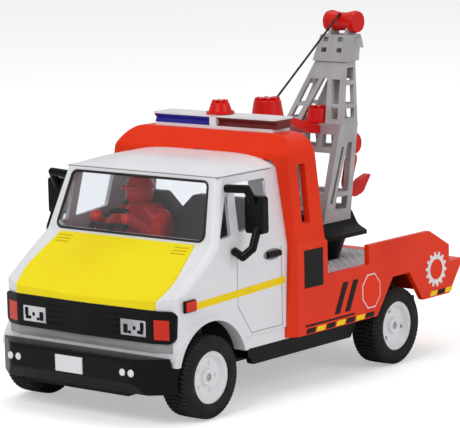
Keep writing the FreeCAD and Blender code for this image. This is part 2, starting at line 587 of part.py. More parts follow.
# ---------------------------------------------------------------- light bar on the hoop
BAR = (46.4, 55.6, 24.4)       # front, rear and half length
BAR_BASE = 0.9
LENS_TOP = s.hoop_z + 3.6
node("light_bar_base", block("light_bar_base", (-BAR[2] + 1, along(BAR[0]), s.hoop_z),
                             (BAR[2] - 1, along(BAR[1] - 0.6), s.hoop_z + BAR_BASE)))
LENS_SIDE = [
    (along(BAR[0] + 0.9), s.hoop_z + BAR_BASE), (along(BAR[1] - 0.9), s.hoop_z + BAR_BASE),
    (along(BAR[1] - 1.6), s.hoop_z + 2.2), (along(BAR[1] - 0.4), LENS_TOP), (along(BAR[0] + 0.4), LENS_TOP),
    (along(BAR[0] + 1.6), s.hoop_z + 2.2),
]
DIVIDER = 1.3
node("light_bar_blue", prism("light_bar_blue", "side", LENS_SIDE, -BAR[2], BAR[2] - DIVIDER))
node("light_bar_red", prism("light_bar_red", "side", LENS_SIDE, DIVIDER, BAR[2] - DIVIDER))
cover = block("cover", (-BAR[2], along(BAR[0] + 0.2), LENS_TOP), (BAR[2], along(BAR[1] - 0.2), LENS_TOP + 0.6))
divider = block("divider", (-DIVIDER, along(BAR[0]), s.hoop_z + BAR_BASE), (DIVIDER, along(BAR[1]), LENS_TOP + 0.8))
node("light_bar_cover", fuse("light_bar_cover", [cover, divider]))


def beacon(name, centre, foot_z, radius, height):
    """A lamp cap: a flange, a tapering body and a crown with ribs."""
    flange = 0.7
    body = turned(name + "_body", [
        (0.0, 0.0), (0.0, radius + s.beacon_flange), (flange, radius + s.beacon_flange), (flange, radius),
        (height - 0.8, radius - 0.9, 0.4), (height - 0.5, 0.0)], "Z", (centre[0], centre[1], foot_z))
    ribs = []
    for turn in range(4):
        rib = block(f"{name}_rib_{turn}", (-radius + 1.2, -0.5, 0), (radius - 1.2, 0.5, 1.2))
        rib.Placement = FreeCAD.Placement(
            FreeCAD.Vector(centre[0], centre[1], foot_z + height - 1.2),
            FreeCAD.Rotation(FreeCAD.Vector(0, 0, 1), turn * 45.0)) * FreeCAD.Placement(
            FreeCAD.Vector(-radius + 1.2, -0.5, 0), FreeCAD.Rotation())
        ribs.append(rib)
    return fuse(name, [body, *ribs])


node("roof_beacon", beacon("roof_beacon", (0.0, along(50.2)), LENS_TOP + 0.8, s.beacon_radius - 0.2, 4.2))

# ---------------------------------------------------------------- door mirrors and handles
MIRROR_ARM = 1.25       # radius of the mirror's arm
# two bent arms hold the head: (x, behind the front axle, z)
UPPER_ARM = [(31.0, 15.0, 65.8), (38.9, 14.8, 66.2), (39.4, 17.6, 61.5)]
LOWER_ARM = [(40.4, 17.6, 54.5), (40.6, 14.8, 48.8), (38.6, 12.6, 46.4), (34.9, 13.2, 47.8)]
arm_pieces = []
for arm_name, path in (("upper", UPPER_ARM), ("lower", LOWER_ARM)):
    points = [(x, along(at), z) for x, at, z in path]
    for i in range(len(points) - 1):
        arm_pieces.append(rod(f"{arm_name}_arm_{i}", points[i], points[i + 1], MIRROR_ARM))
    for i in range(1, len(points) - 1):
        arm_pieces.append(ball(f"{arm_name}_bend_{i}", points[i], MIRROR_ARM))
arm_pieces.append(prism("mirror_head", "front", [
    (36.2, 52.8, 0.8), (43.1, 52.8, 1.0), (43.1, 63.9, 1.0), (36.2, 63.9, 0.8)], along(17.0), 2.4))
arm_trim = cab_solid("arm_trim", 0, 0)
mirror_left = cut("mirror_left", fuse("mirror_blank", arm_pieces), [arm_trim])
node("mirror_left", mirror_left)
node("mirror_right", mirror("mirror_right", mirror_left))
handle = prism("handle", "front", [
    (s.cab_half, 43.2), (s.cab_half + 1.0, 43.6, 0.3), (s.cab_half + 1.0, 44.9, 0.3), (s.cab_half, 45.3)],
    along(28.4), 6.2)
node("door_handles", pair("door_handles", handle))

# ---------------------------------------------------------------- inside the cab
FLOOR = s.sill_z - 0.2
DRIVER_X = -15.0
seat_box = block("seat_box", (-29.0, along(19.0), FLOOR), (29.0, along(38.0), 37.0))
SEAT_SPLIT = -4.5
seat_backs = []
for seat, x_low, x_high in (("driver", -28.0, SEAT_SPLIT - 0.2), ("double", SEAT_SPLIT + 0.2, 28.0)):
    seat_backs.append(prism(seat + "_back", "front", [
        (x_low, 36.0), (x_high, 36.0), (x_high, 54.0, 0.6), (x_high - 6.0, 59.4, 2.0), (x_low + 6.0, 59.4, 2.0),
        (x_low, 54.0, 0.6)], along(34.6), 3.4))
node("seats", fuse("seats", [seat_box, *seat_backs]))
ARCH_TOP = s.arch_z + s.arch_radius + 2.2
DASH_FOOT = [(along(6.4), FLOOR), (along(10.0), FLOOR), (along(10.0), ARCH_TOP), (along(6.4), ARCH_TOP)]
DASH_TOP = [(along(4.4), ARCH_TOP), (along(12.0), ARCH_TOP), (along(12.6), 44.0, 1.0), (along(10.4), 47.6, 1.0),
            (along(4.4), 46.6)]
dash_half = s.cab_half - s.shell - 0.3


def dashboard(name):
    return fuse(name, [
        prism(name + "_foot", "side", DASH_FOOT, -chassis_half, 2 * chassis_half),
        prism(name + "_top", "side", DASH_TOP, -dash_half, 2 * dash_half)])


node("dashboard", dashboard("dashboard"))
WHEEL_CENTRE = FreeCAD.Vector(DRIVER_X, along(14.2), 51.4)
WHEEL_TILT = -35.0      # the steering wheel's turn about X from level
rim = doc.addObject("Part::Torus", "steering_rim")
rim.Radius1, rim.Radius2 = 6.6, 0.9
tilt = FreeCAD.Rotation(FreeCAD.Vector(1, 0, 0), -WHEEL_TILT)
rim.Placement = FreeCAD.Placement(WHEEL_CENTRE, tilt)
spokes = [rod(f"spoke_{i}", WHEEL_CENTRE, WHEEL_CENTRE + tilt.multVec(FreeCAD.Vector(
    6.6 * math.cos(a), 6.6 * math.sin(a), 0)), 0.6) for i, a in enumerate((0.0, math.pi, -math.pi / 2))]
column = rod("column", WHEEL_CENTRE, WHEEL_CENTRE + tilt.multVec(FreeCAD.Vector(0, 0, -6.6)), 0.9)
steering = cut("steering_wheel", fuse("steering_blank", [rim, *spokes, column]), [dashboard("dash_trim")])
node("steering_wheel", steering)

# the driver: a plain moulded figure with no features
torso = rounded("torso", prism("torso_blank", "front", [
    (DRIVER_X - 6.6, 38.0), (DRIVER_X + 6.6, 38.0), (DRIVER_X + 9.8, 50.6, 3.6), (DRIVER_X + 4.0, 56.0, 2.0),
    (DRIVER_X - 4.0, 56.0, 2.0), (DRIVER_X - 9.8, 50.6, 3.6)], along(26.8), 7.0), 1.8,
    lambda m, e: m.z > 40 and abs(m.y - along(26.8)) < 0.01)
hips = block("hips", (DRIVER_X - 6, along(25.0), 37.0), (DRIVER_X + 6, along(33.8), 43.0))
neck = rod("neck", (DRIVER_X, along(29.4), 53.0), (DRIVER_X, along(28.6), 58.0), 3.0)
head = ball("head", (DRIVER_X, along(28.6), 59.6), 4.4)
cap = common("cap", [ball("cap_crown", (DRIVER_X, along(28.9), 60.2), 4.9),
                     block("cap_half", (DRIVER_X - 6, along(22.0), 61.2), (DRIVER_X + 6, along(35.0), 66.0))])
peak = rod("peak", (DRIVER_X, along(26.6), 61.2), (DRIVER_X, along(26.6), 62.0), 4.4)
figure = [torso, hips, neck, head, cap, peak]
for side_name, sign in (("left", 1), ("right", -1)):
    shoulder = (DRIVER_X + sign * 8.0, along(29.8), 52.0)
    elbow = (DRIVER_X + sign * 10.4, along(23.6), 46.6)
    hand = (DRIVER_X + sign * 6.4, along(15.8), 53.2)
    figure += [ball("shoulder_" + side_name, shoulder, 3.0), ball("elbow_" + side_name, elbow, 2.6),
               rod("upper_arm_" + side_name, shoulder, elbow, 2.6), rod("fore_arm_" + side_name, elbow, hand, 2.0),
               ball("hand_" + side_name, hand, 2.2)]
grip = fuse("grip", [steering, NODES["seats"]])
node("driver_figure", cut("driver_figure", fuse("figure_blank", figure), [grip]))

# ---------------------------------------------------------------- wheels and axles
tyre_inner = s.track_half - s.tyre_width
TYRE = [
    (tyre_inner, s.hub_radius + s.fit_gap), (s.track_half - 0.6, s.hub_radius + s.fit_gap),
    (s.track_half, s.hub_radius + 1.4), (s.track_half - 0.3, s.tyre_radius, 1.8),
    (tyre_inner + 0.3, s.tyre_radius, 1.8), (tyre_inner, s.hub_radius + 1.4),
]
hub_face = s.track_half - 0.9
web_outer = hub_face - s.hub_dish
HUB = [
    (tyre_inner + 2.6, s.axle_radius + s.fit_gap), (web_outer + 1.0, s.axle_radius + s.fit_gap),
    (web_outer + 1.0, 2.4), (web_outer, 2.8), (web_outer, s.hub_radius - 2.0, 0.6),
    (hub_face, s.hub_radius - 1.1), (hub_face, s.hub_radius), (tyre_inner + 1.0, s.hub_radius),
    (tyre_inner + 1.0, s.hub_radius - s.hub_wall), (web_outer - 1.2, s.hub_radius - s.hub_wall),
    (web_outer - 1.2, 3.0), (tyre_inner + 2.6, 3.0),
]
NUTS = 5
HOLES = 3
for end_name, station in AXLE_STATIONS:
    centre = (0, along(station), s.tyre_radius)
    axle = rod(end_name + "_axle", (-(web_outer + 0.6), centre[1], centre[2]), (web_outer + 0.6, centre[1], centre[2]),
               "Sizes.axle_radius")
    node(end_name + "_axle", axle)
    tyre = turned(end_name + "_tyre_left", TYRE, "X", centre)
    hub = turned(end_name + "_hub_blank", HUB, "X", centre)
    extras = []
    if end_name == "front":
        # wheel nuts stand out of the web
        for i in range(NUTS):
            angle = 2 * math.pi * i / NUTS
            y, z = centre[1] + 4.2 * math.cos(angle), centre[2] + 4.2 * math.sin(angle)
            extras.append(rod(f"nut_{i}", (web_outer - 0.6, y, z), (web_outer + 0.5, y, z), 0.6))
        hub_left = fuse("front_hub_left", [hub, *extras])
    else:
        for i in range(HOLES):
            angle = math.radians(107) + 2 * math.pi * i / HOLES
            y, z = centre[1] + 5.0 * math.cos(angle), centre[2] + 5.0 * math.sin(angle)
            extras.append(rod(f"vent_{i}", (web_outer - 3, y, z), (web_outer + 2, y, z), 0.7))
        hub_left = cut("rear_hub_left", hub, extras)
    node(end_name + "_tyre_left", tyre)
    node(end_name + "_tyre_right", mirror(end_name + "_tyre_right", tyre))
    node(end_name + "_hub_left", hub_left)
    node(end_name + "_hub_right", mirror(end_name + "_hub_right", hub_left))

# ---------------------------------------------------------------- crane: pedestal and saddle
turret = (0.0, along(s.turret_at))
pedestal_blank = turned("pedestal_blank", [
    (0.0, 0.0), (0.0, s.pedestal_foot_radius), (s.pedestal_z - s.deck_z, s.pedestal_head_radius),
    (s.pedestal_z - s.deck_z, 0.0)], "Z", (*turret, s.deck_z))
pivot_bore = rod("pivot_bore", (*turret, s.deck_z + 1.5), (*turret, 60), "Sizes.pivot_radius + Sizes.pivot_clearance")
node("pedestal", cut("pedestal", pedestal_blank, [pivot_bore]))
saddle_low = s.pedestal_z + s.turret_gap
SADDLE = [
    (s.saddle_half, saddle_low), (s.saddle_half, saddle_low + s.saddle_rim),
    (s.tower_foot_half + 1.4, saddle_low + 3.0, 4.0), (s.tower_foot_half - 1.8, s.saddle_crown_z, 3.6)]
SADDLE = mirrored(SADDLE)
saddle_front = turret[1] - s.saddle_length / 2
pivot_pin = rod("pivot_pin", (*turret, s.deck_z + 1.5 + s.turret_gap), (*turret, saddle_low + 1.0), "Sizes.pivot_radius")
node("saddle", fuse("saddle", [prism("saddle_hump", "front", SADDLE, saddle_front, s.saddle_length), pivot_pin]))

# ---------------------------------------------------------------- crane: tower, boom and head
# outlines seen from the side: (front, rear) at the foot and at the head of each stage
TOWER_FOOT_Z = 40.6
TOWER_SIDE = [(along(92.6), TOWER_FOOT_Z), (along(107.4), TOWER_FOOT_Z), (along(105.8), s.tower_head_z),
              (along(96.6), s.tower_head_z)]
BOOM_SIDE = [(along(96.8), s.tower_head_z), (along(105.6), s.tower_head_z), (along(112.2), s.boom_head_z),
             (along(106.9), s.boom_head_z)]


def upright(foot_half, foot_z, head_half, head_z):
    """A four-sided front outline, in the order foot -X, foot +X, head +X, head -X."""
    return [(-foot_half, foot_z), (foot_half, foot_z), (head_half, head_z), (-head_half, head_z)]


TOWER_FRONT = upright(s.tower_foot_half, TOWER_FOOT_Z, s.tower_half, s.tower_head_z)
BOOM_FRONT = upright(s.tower_half, s.tower_head_z, s.boom_head_half, s.boom_head_z)


def rung(outline, low, high, margin):
    """The slice of a four-sided outline between two heights, kept as a window: (u, v) corners."""
    (fu, fz), (ru, rz), (hu, hz), (tu, tz) = (p[:2] for p in outline)

    def at(z, foot, head):
        return foot + (head - foot) * (z - fz) / (hz - fz)
    return [(at(low, fu, tu) + margin, low), (at(low, ru, hu) - margin, low),
            (at(high, ru, hu) - margin, high), (at(high, fu, tu) + margin, high)]


def lattice(name, side, front, bar, side_windows, front_windows):
    """A box of two tapering outlines, hollowed, with windows cut through its flanks and through front and back."""
    x_reach, y_low, y_high = 30, along(80), along(125)
    outer = common(name + "_outer", [
        prism(name + "_outer_side", "side", side, -x_reach, 2 * x_reach),
        prism(name + "_outer_front", "front", front, y_low, y_high - y_low)])
    low_z, high_z = side[0][1], side[2][1]
    inner_side = inset(side, [0.0, bar, 1.4, bar])
    inner_front = inset(front, [0.0, bar, 1.4, bar])
    hollow = common(name + "_hollow", [
        prism(name + "_inner_side", "side", inner_side, -x_reach, 2 * x_reach),
        prism(name + "_inner_front", "front", inner_front, y_low, y_high - y_low)])
    tools = [hollow]
    for i, outline in enumerate(side_windows):
        tools.append(prism(f"{name}_side_window_{i}", "side", outline, -x_reach, 2 * x_reach))
    for i, outline in enumerate(front_windows):
        tools.append(prism(f"{name}_front_window_{i}", "front", outline, y_low, y_high - y_low))
    return cut(name, outer, tools)


def part_of(outline, low, high, share_low, share_high, bar):
    """A window between two heights that takes the given shares of the width, less half a bar at each edge."""
    whole = rung(outline, low, high, 0.0)
    (a, z0), (b, _), (c, z1), (d, _) = whole
    return [(a + (b - a) * share_low + bar / 2, z0, 0.3), (a + (b - a) * share_high - bar / 2, z0, 0.3),
            (d + (c - d) * share_high - bar / 2, z1, 0.3), (d + (c - d) * share_low + bar / 2, z1, 0.3)]


bar = s.tower_bar
# side windows as (Y, Z) corners: a slot behind the front leg, the split of the rear leg, and the foot
tower_side_windows = [
    [(along(95.4), 49.0), (along(96.6), 49.0), (along(99.6), 67.4), (along(98.6), 67.4)],
    [(along(98.6), 52.4), (along(104.4), 52.4), (along(103.8), 68.6), (along(101.6), 68.6)],
    [(along(98.4), 46.6), (along(104.4), 46.6), (along(104.4), 50.8), (along(98.6), 50.8)],
]
# rows of front windows: low, high, and the shares of the width that each window takes
TOWER_ROWS = [(67.4, 71.6, [(0.05, 0.35), (0.35, 0.65), (0.65, 0.95)]), (52.6, 65.6, [(0.06, 0.94)]),
              (47.6, 50.8, [(0.10, 0.90)])]
tower_front_windows = [part_of(TOWER_FRONT, low, high, a, b, bar) for low, high, shares in TOWER_ROWS
                       for a, b in shares]
tower_blank = lattice("tower_blank", TOWER_SIDE, TOWER_FRONT, bar, tower_side_windows, tower_front_windows)
saddle_trim = prism("saddle_trim", "front", SADDLE, saddle_front, s.saddle_length)
node("crane_tower", cut("crane_tower", tower_blank, [saddle_trim]))

BOOM_SIDE_ROWS = [(76.6, 79.6), (80.9, 86.8), (88.2, 92.2)]
boom_side_windows = [part_of(BOOM_SIDE, low, high, 0.2, 0.8, 0.0) for low, high in BOOM_SIDE_ROWS]
# the front is two ladders with an opening between them that widens downwards
GAP_LOW = (76.4, 5.3)           # height and half width of the opening at its foot
GAP_HIGH = (88.8, 0.9)          # and at its head
BOOM_FRONT_ROWS = [(76.4, 80.0), (81.1, 88.6)]


def gap_half(z):
    return GAP_LOW[1] + (GAP_HIGH[1] - GAP_LOW[1]) * (z - GAP_LOW[0]) / (GAP_HIGH[0] - GAP_LOW[0])


def boom_half(z):
    return s.tower_half + (s.boom_head_half - s.tower_half) * (z - s.tower_head_z) / (s.boom_head_z - s.tower_head_z)


boom_front_windows = []
for sign in (1, -1):
    for low, high in BOOM_FRONT_ROWS:
        ladder = [(sign * (gap_half(low) + s.boom_bar), low), (sign * (boom_half(low) - s.boom_bar), low),
                  (sign * (boom_half(high) - s.boom_bar), high), (sign * (gap_half(high) + s.boom_bar), high)]
        boom_front_windows.append(ladder)
boom_lattice = lattice("boom_lattice", BOOM_SIDE, BOOM_FRONT, s.boom_bar * 0.7, boom_side_windows, boom_front_windows)
# the opening goes through the front only: the rear plate shows through it
middle_low = (BOOM_SIDE[0][0] + BOOM_SIDE[1][0]) / 2
middle_high = (BOOM_SIDE[3][0] + BOOM_SIDE[2][0]) / 2
front_space = prism("front_space", "side", [
    (along(85), s.tower_head_z), (middle_low, s.tower_head_z), (middle_high, s.boom_head_z),
    (along(85), s.boom_head_z)], -20, 40)
gap_blank = prism("gap_blank", "front", mirrored([
    (GAP_LOW[1] + 0.1, s.tower_head_z - 1), (GAP_HIGH[1], GAP_HIGH[0])]), along(85), 40)
boom_gap = common("boom_gap", [gap_blank, front_space])
# the tower's ledge goes on under the boom as a floor, so the boom's own foot is open
node("crane_boom", cut("crane_boom", boom_lattice, [boom_gap]))

HEAD_SIDE = [(along(106.2), s.boom_head_z), (along(113.2), s.boom_head_z), (along(116.2), s.head_box_z),
             (along(109.2), s.head_box_z)]
HEAD_FRONT = mirrored([(s.boom_head_half + 0.7, s.boom_head_z), (s.boom_head_half - 0.6, s.head_box_z)])
head_blank = common("head_blank", [
    prism("head_side", "side", HEAD_SIDE, -30, 60), prism("head_front", "front", HEAD_FRONT, along(100), 30)])
FIN = [(along(112.6), 101.0), (along(113.2), 98.4), (along(117.0), 98.0), (along(115.8), 102.0)]
fins = [prism(f"fin_{i}", "side", FIN, x, 1.0) for i, x in enumerate((-s.boom_head_half + 0.1, s.boom_head_half - 1.1))]
head_slots = [prism(f"head_slot_{i}", "front", [
    (x - 1.1, low, 0.3), (x + 1.1, low, 0.3), (x + 1.0, low + 1.5, 0.3), (x - 1.0, low + 1.5, 0.3)],
    along(104), 6.0) for i, (x, low) in enumerate(((-3.1, 97.0), (3.1, 97.0), (-2.9, 100.4), (2.9, 100.4)))]
EAR = [(along(110.6), s.head_box_z - 0.5), (along(s.sheave_at + 1.4), s.head_box_z - 0.5),
       (along(s.sheave_at + 1.4), sheave_z + 1.2, 1.2), (along(s.sheave_at - 1.4), sheave_z + 1.2, 1.2)]
ears = [prism(f"ear_{i}", "side", EAR, x, 1.0) for i, x in enumerate((-3.8, 2.8))]
roller_blank = turned("roller_blank", [
    (-s.sheave_half, 0.0), (-s.sheave_half, s.sheave_radius - 0.3), (-s.sheave_half + 1.2, s.sheave_radius, 0.4),
    (-1.4, s.sheave_waist), (1.4, s.sheave_waist), (s.sheave_half - 1.2, s.sheave_radius, 0.4),
    (s.sheave_half, s.sheave_radius - 0.3), (s.sheave_half, 0.0)], "X",
    (0, along(s.sheave_at), sheave_z))
roller = cut("head_roller", roller_blank, ears)
head_box = cut("head_box", fuse("head_whole", [head_blank, *ears, *fins]), head_slots)
node("boom_head", head_box)
node("head_roller", roller)

BEACON_AT = BOOM_SIDE[1][0] - s.boom_bar * 0.7 - 0.1 - s.beacon_radius - s.beacon_flange
node("tower_beacon", beacon("tower_beacon", (0.0, BEACON_AT), s.tower_head_z, s.beacon_radius, s.beacon_height))

# winch on its arm in front of the tower; the hoist line runs from it to the roller and down to the hook
def tower_front(z):
    """Y of the tower's front face at a height."""
    foot, head = TOWER_SIDE[0], TOWER_SIDE[3]
    return foot[0] + (head[0] - foot[0]) * (z - foot[1]) / (head[1] - foot[1])


winch_y = along(s.winch_at)
node("winch_arm", prism("winch_arm", "side", [
    (winch_y - s.winch_radius, s.arm_top_z - 1.6, 0.5), (winch_y + 6.0, s.arm_top_z - 1.8, 2.0),
    (along(91.0), 72.4), (tower_front(72.0), 72.0), (tower_front(s.tower_head_z - 0.8), s.tower_head_z - 0.8),
    (winch_y + 8.0, s.arm_top_z, 3.0), (winch_y - s.winch_radius, s.arm_top_z)], -3.5, 7.0))


def winch(name):
    return beacon(name, (0.0, winch_y), s.arm_top_z, s.winch_radius, 6.9)


node("winch_cover", winch("winch_cover"))


def line_piece(name, start, end, trims):
    bar_piece = rod(name + "_blank", start, end, "Sizes.line_radius")
    return cut(name, bar_piece, trims) if trims else bar_piece


def roller_core(name):
    return rod(name, (-5, along(s.sheave_at), sheave_z), (5, along(s.sheave_at), sheave_z), s.sheave_waist)


# the taut line runs from the winch to the top of the roller's waist
LINE_LIFT = s.sheave_waist + s.line_radius
slope = math.atan2(sheave_z - s.arm_top_z - 4.0, s.sheave_at - s.winch_at)
node("hoist_line", line_piece(
    "hoist_line", (0.0, winch_y + 1.0, s.arm_top_z + 3.6),
    (0.0, along(s.sheave_at) - LINE_LIFT * math.sin(slope), sheave_z + LINE_LIFT * math.cos(slope)),
    [winch("winch_trim"), roller_core("roller_trim")]))

# ---------------------------------------------------------------- hook
hook_line_at = s.sheave_at + s.sheave_waist + s.line_radius + 0.1
node("hook_line", rod("hook_line", (0.0, along(hook_line_at), s.block_z + s.block_radius),
                      (0.0, along(hook_line_at), sheave_z), "Sizes.line_radius"))
node("hook_block", turned("hook_block", [
    (-s.block_half, 0.0), (-s.block_half, s.block_radius - 0.6, 0.3), (-0.5, s.block_radius, 0.2),
    (0.5, s.block_radius, 0.2), (s.block_half, s.block_radius - 0.6, 0.3), (s.block_half, 0.0)], "X",
    (0, along(hook_line_at), s.block_z)))
HOOK = [
    (along(hook_line_at - 1.6), 62.6), (along(hook_line_at - 2.8), 60.0), (along(113.0), 52.8, 3.0),
    (along(116.0), 47.8, 3.4), (along(122.0), 49.2, 4.0), (along(126.8), 55.2, 0.4), (along(121.0), 53.6, 3.0),
    (along(117.2), 50.6, 1.2), (along(115.8), 53.0, 1.2), (along(hook_line_at + 0.9), 60.4),
    (along(hook_line_at + 0.9), 62.4)]
hook_bar = prism("hook_bar", "side", HOOK, -1.3, 2.6)
block_trim = rod("block_trim", (-6, along(hook_line_at), s.block_z), (6, along(hook_line_at), s.block_z),
                 "Sizes.block_radius")
node("hook", cut("hook", hook_bar, [block_trim]))

# ---------------------------------------------------------------- check and write
doc.recompute()
for item in doc.Objects:
    if any(word in item.State for word in ("Invalid", "Error")):
        raise RuntimeError(f"{item.Label}: {item.State}")
for label, piece in NODES.items():
    shape = piece.Shape
    if shape.isNull() or not shape.isValid() or not shape.Solids:
        raise RuntimeError(f"{label}: empty or not valid")
    shape.exportStep(f"parts/{label}.step")
    box = shape.BoundBox
    print(f"{label:18s} solids {len(shape.Solids)} volume {shape.Volume:9.1f}  "
          f"x {box.XMin:6.1f} {box.XMax:6.1f}  y {box.YMin:6.1f} {box.YMax:6.1f}  z {box.ZMin:6.1f} {box.ZMax:6.1f}")
print(len(NODES), "nodes")
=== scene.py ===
# %% [markdown]
# # A toy recovery truck: dressing a fixed CAD frame
# The CAD model gives the mouldings their shape and place. This lesson gives each one its finish, and adds
# what is too fine for the CAD: the tyres' tread, the deck's chequer, the roof's dome, trim round the lamps
# and the screen, and the printed stripes and signs.
# Everything is in metres, in the same frame as the CAD: +Z is up and the nose points to -Y.

# %% Load the frame
import math
import bpy
import bmesh
from mathutils import Matrix, Vector


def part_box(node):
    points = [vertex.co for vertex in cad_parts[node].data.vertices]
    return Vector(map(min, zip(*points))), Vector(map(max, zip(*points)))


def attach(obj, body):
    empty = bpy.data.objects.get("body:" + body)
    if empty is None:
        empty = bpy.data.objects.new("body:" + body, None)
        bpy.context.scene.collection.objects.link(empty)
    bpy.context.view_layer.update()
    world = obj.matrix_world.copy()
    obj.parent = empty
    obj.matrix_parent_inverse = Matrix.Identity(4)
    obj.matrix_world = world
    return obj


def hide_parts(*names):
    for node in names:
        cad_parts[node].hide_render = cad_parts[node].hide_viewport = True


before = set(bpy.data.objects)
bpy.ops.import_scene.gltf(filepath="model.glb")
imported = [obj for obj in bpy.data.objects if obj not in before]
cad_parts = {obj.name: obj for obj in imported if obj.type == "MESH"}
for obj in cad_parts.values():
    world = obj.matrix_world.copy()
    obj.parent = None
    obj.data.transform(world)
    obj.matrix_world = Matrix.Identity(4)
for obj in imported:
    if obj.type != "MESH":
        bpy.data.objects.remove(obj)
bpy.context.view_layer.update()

MM = 0.001

# %% [markdown]
# ## Where things are
# Lengths along the truck are easiest to read from the front axle, so one function turns them into Y.

# %% Stations along the truck
FRONT_AXLE_Y = -52.5
WHEELBASE = 92.0


def along(behind_front_axle):
    """Y in millimetres of a station behind the front axle."""
    return FRONT_AXLE_Y + behind_front_axle


print("rear axle at y", along(WHEELBASE), "mm")

# %% [markdown]
# ## One way to add a node
# Each material below is a small node graph. A single helper adds a node, sets its sockets and makes its
# links, so every graph reads as a list of what it is made from.
# Colours are written as sRGB hex values, as a paint maker lists them, and turned to linear light once.

# %% Colour and node helpers


def linear(hex_colour):
    """An sRGB hex colour as linear red, green, blue and alpha."""
    channels = [int(hex_colour[i:i + 2], 16) / 255 for i in (1, 3, 5)]
    return [c / 12.92 if c <= 0.04045 else ((c + 0.055) / 1.055) ** 2.4 for c in channels] + [1.0]


def add_node(owner, kind, settings=None, values=None, links=None):
    """Add a node to a material or a world: its properties, socket values, and socket -> (node, output)."""
    made = owner.node_tree.nodes.new(kind)
    for name, value in (settings or {}).items():
        setattr(made, name, value)
    for name, value in (values or {}).items():
        made.inputs[name].default_value = value
    for name, (source, output) in (links or {}).items():
        owner.node_tree.links.new(source.outputs[output], made.inputs[name])
    return made


def blank_material(name):
    """A new material with only its output."""
    material = bpy.data.materials.new(name)
    material.use_nodes = True
    material.node_tree.nodes.clear()
    return material


def two_tones(material, noise, output, first, second, start=0.0, end=1.0):
    """Blend from one hex colour to another as a pattern's value goes from start to end."""
    ramp = add_node(material, "ShaderNodeValToRGB", links={"Fac": (noise, output)})
    for element, colour, position in zip(ramp.color_ramp.elements, (first, second), (start, end)):
        element.color = linear(colour)
        element.position = position
    return ramp


def finish_surface(material, shader):
    """Send a shader to the material's output."""
    output = add_node(material, "ShaderNodeOutputMaterial")
    material.node_tree.links.new(shader.outputs[0], output.inputs["Surface"])
    return material


# %% [markdown]
# ## Moulded plastic
# Most of the toy is injection-moulded ABS: smooth, a little glossy, with the faint unevenness that a steel
# mould leaves and a slight change of tone from flow and handling. Two noises do this: a broad one shifts
# the colour and roughness by a few percent, and a fine one gives the bump.
# One function serves every moulding, because only the pigment and the polish differ.

# %% Moulded plastic
FLOW_SIZE, GRAIN_SIZE = 22 * MM, 0.6 * MM


def moulded_plastic(name, hex_colour, hex_shade, roughness, grain_depth=0.02, shine=0.3):
    """Pigmented ABS or polypropylene; hex_shade is the tone of handled and shaded places, shine its gloss."""
    material = blank_material(name)
    place = add_node(material, "ShaderNodeTexCoord")
    broad = add_node(material, "ShaderNodeTexNoise", values={"Scale": 1 / FLOW_SIZE, "Detail": 3.0},
                     links={"Vector": (place, "Object")})
    tone = two_tones(material, broad, "Fac", hex_shade, hex_colour, 0.28, 0.55)
    polish = add_node(material, "ShaderNodeMapRange", links={"Value": (broad, "Fac")},
                      values={"From Min": 0.3, "From Max": 0.7, "To Min": roughness + 0.05,
                              "To Max": roughness - 0.03})
    grain = add_node(material, "ShaderNodeTexNoise", values={"Scale": 1 / GRAIN_SIZE, "Detail": 2.0},
                     links={"Vector": (place, "Object")})
    bump = add_node(material, "ShaderNodeBump", values={"Strength": 0.35, "Distance": grain_depth * MM},
                    links={"Height": (grain, "Fac")})
    shader = add_node(material, "ShaderNodeBsdfPrincipled",
                      values={"IOR": 1.53, "Specular IOR Level": shine},
                      links={"Base Color": (tone, "Color"), "Roughness": (polish, "Result"),
                             "Normal": (bump, "Normal")})
    return finish_surface(material, shader)


white_abs = moulded_plastic("white gloss ABS", "#EAEAEE", "#E2E2E7", 0.24)
hub_white = moulded_plastic("white hub ABS", "#EDEDF0", "#DFDFE3", 0.35)
flame_abs = moulded_plastic("orange red gloss ABS", "#EC3200", "#E02B00", 0.28, shine=0.2)
red_abs = moulded_plastic("signal red ABS", "#DC0E06", "#C80A04", 0.25, shine=0.25)
yellow_abs = moulded_plastic("yellow gloss ABS", "#FBE600", "#F5DD00", 0.26, shine=0.2)
vent_yellow = moulded_plastic("shaded yellow ABS", "#D9C200", "#CBB500", 0.4)
black_abs = moulded_plastic("black gloss ABS", "#060607", "#030304", 0.3, grain_depth=0.03, shine=0.15)
deck_abs = moulded_plastic("grey satin ABS of the deck", "#96969C", "#8C8C92", 0.42, shine=0.2)
# the chequer bars' near-white is painted highlight on their raised tops, far lighter than the deck's grey
chequer_highlight_abs = moulded_plastic("grey ABS of the chequer lightened as painted highlight", "#ECECF0", "#E0E0E5", 0.3, shine=0.4)
grey_abs = moulded_plastic("dark grey satin ABS", "#4A4A4D", "#3E3E41", 0.5, grain_depth=0.04, shine=0.2)
print("moulded plastics made")

# %% [markdown]
# ## Silver lacquer
# Cheap lattice parts are moulded in grey plastic and sprayed with an aluminium-flake lacquer. The flake is
# fine, so the eye sees a pale satin with a slight sparkle: about a third metallic, with a small cellular
# pattern that tilts the normal a little from flake to flake. Flakes are drawn coarser than real ones, so
# that they show at all. The valance and the lamps wear the same lacquer in other tones; the valance's darker
# grey is partly painted shade, for a strip that faces a little downwards.

# %% Silver lacquer
FLAKE_SIZE = 0.25 * MM


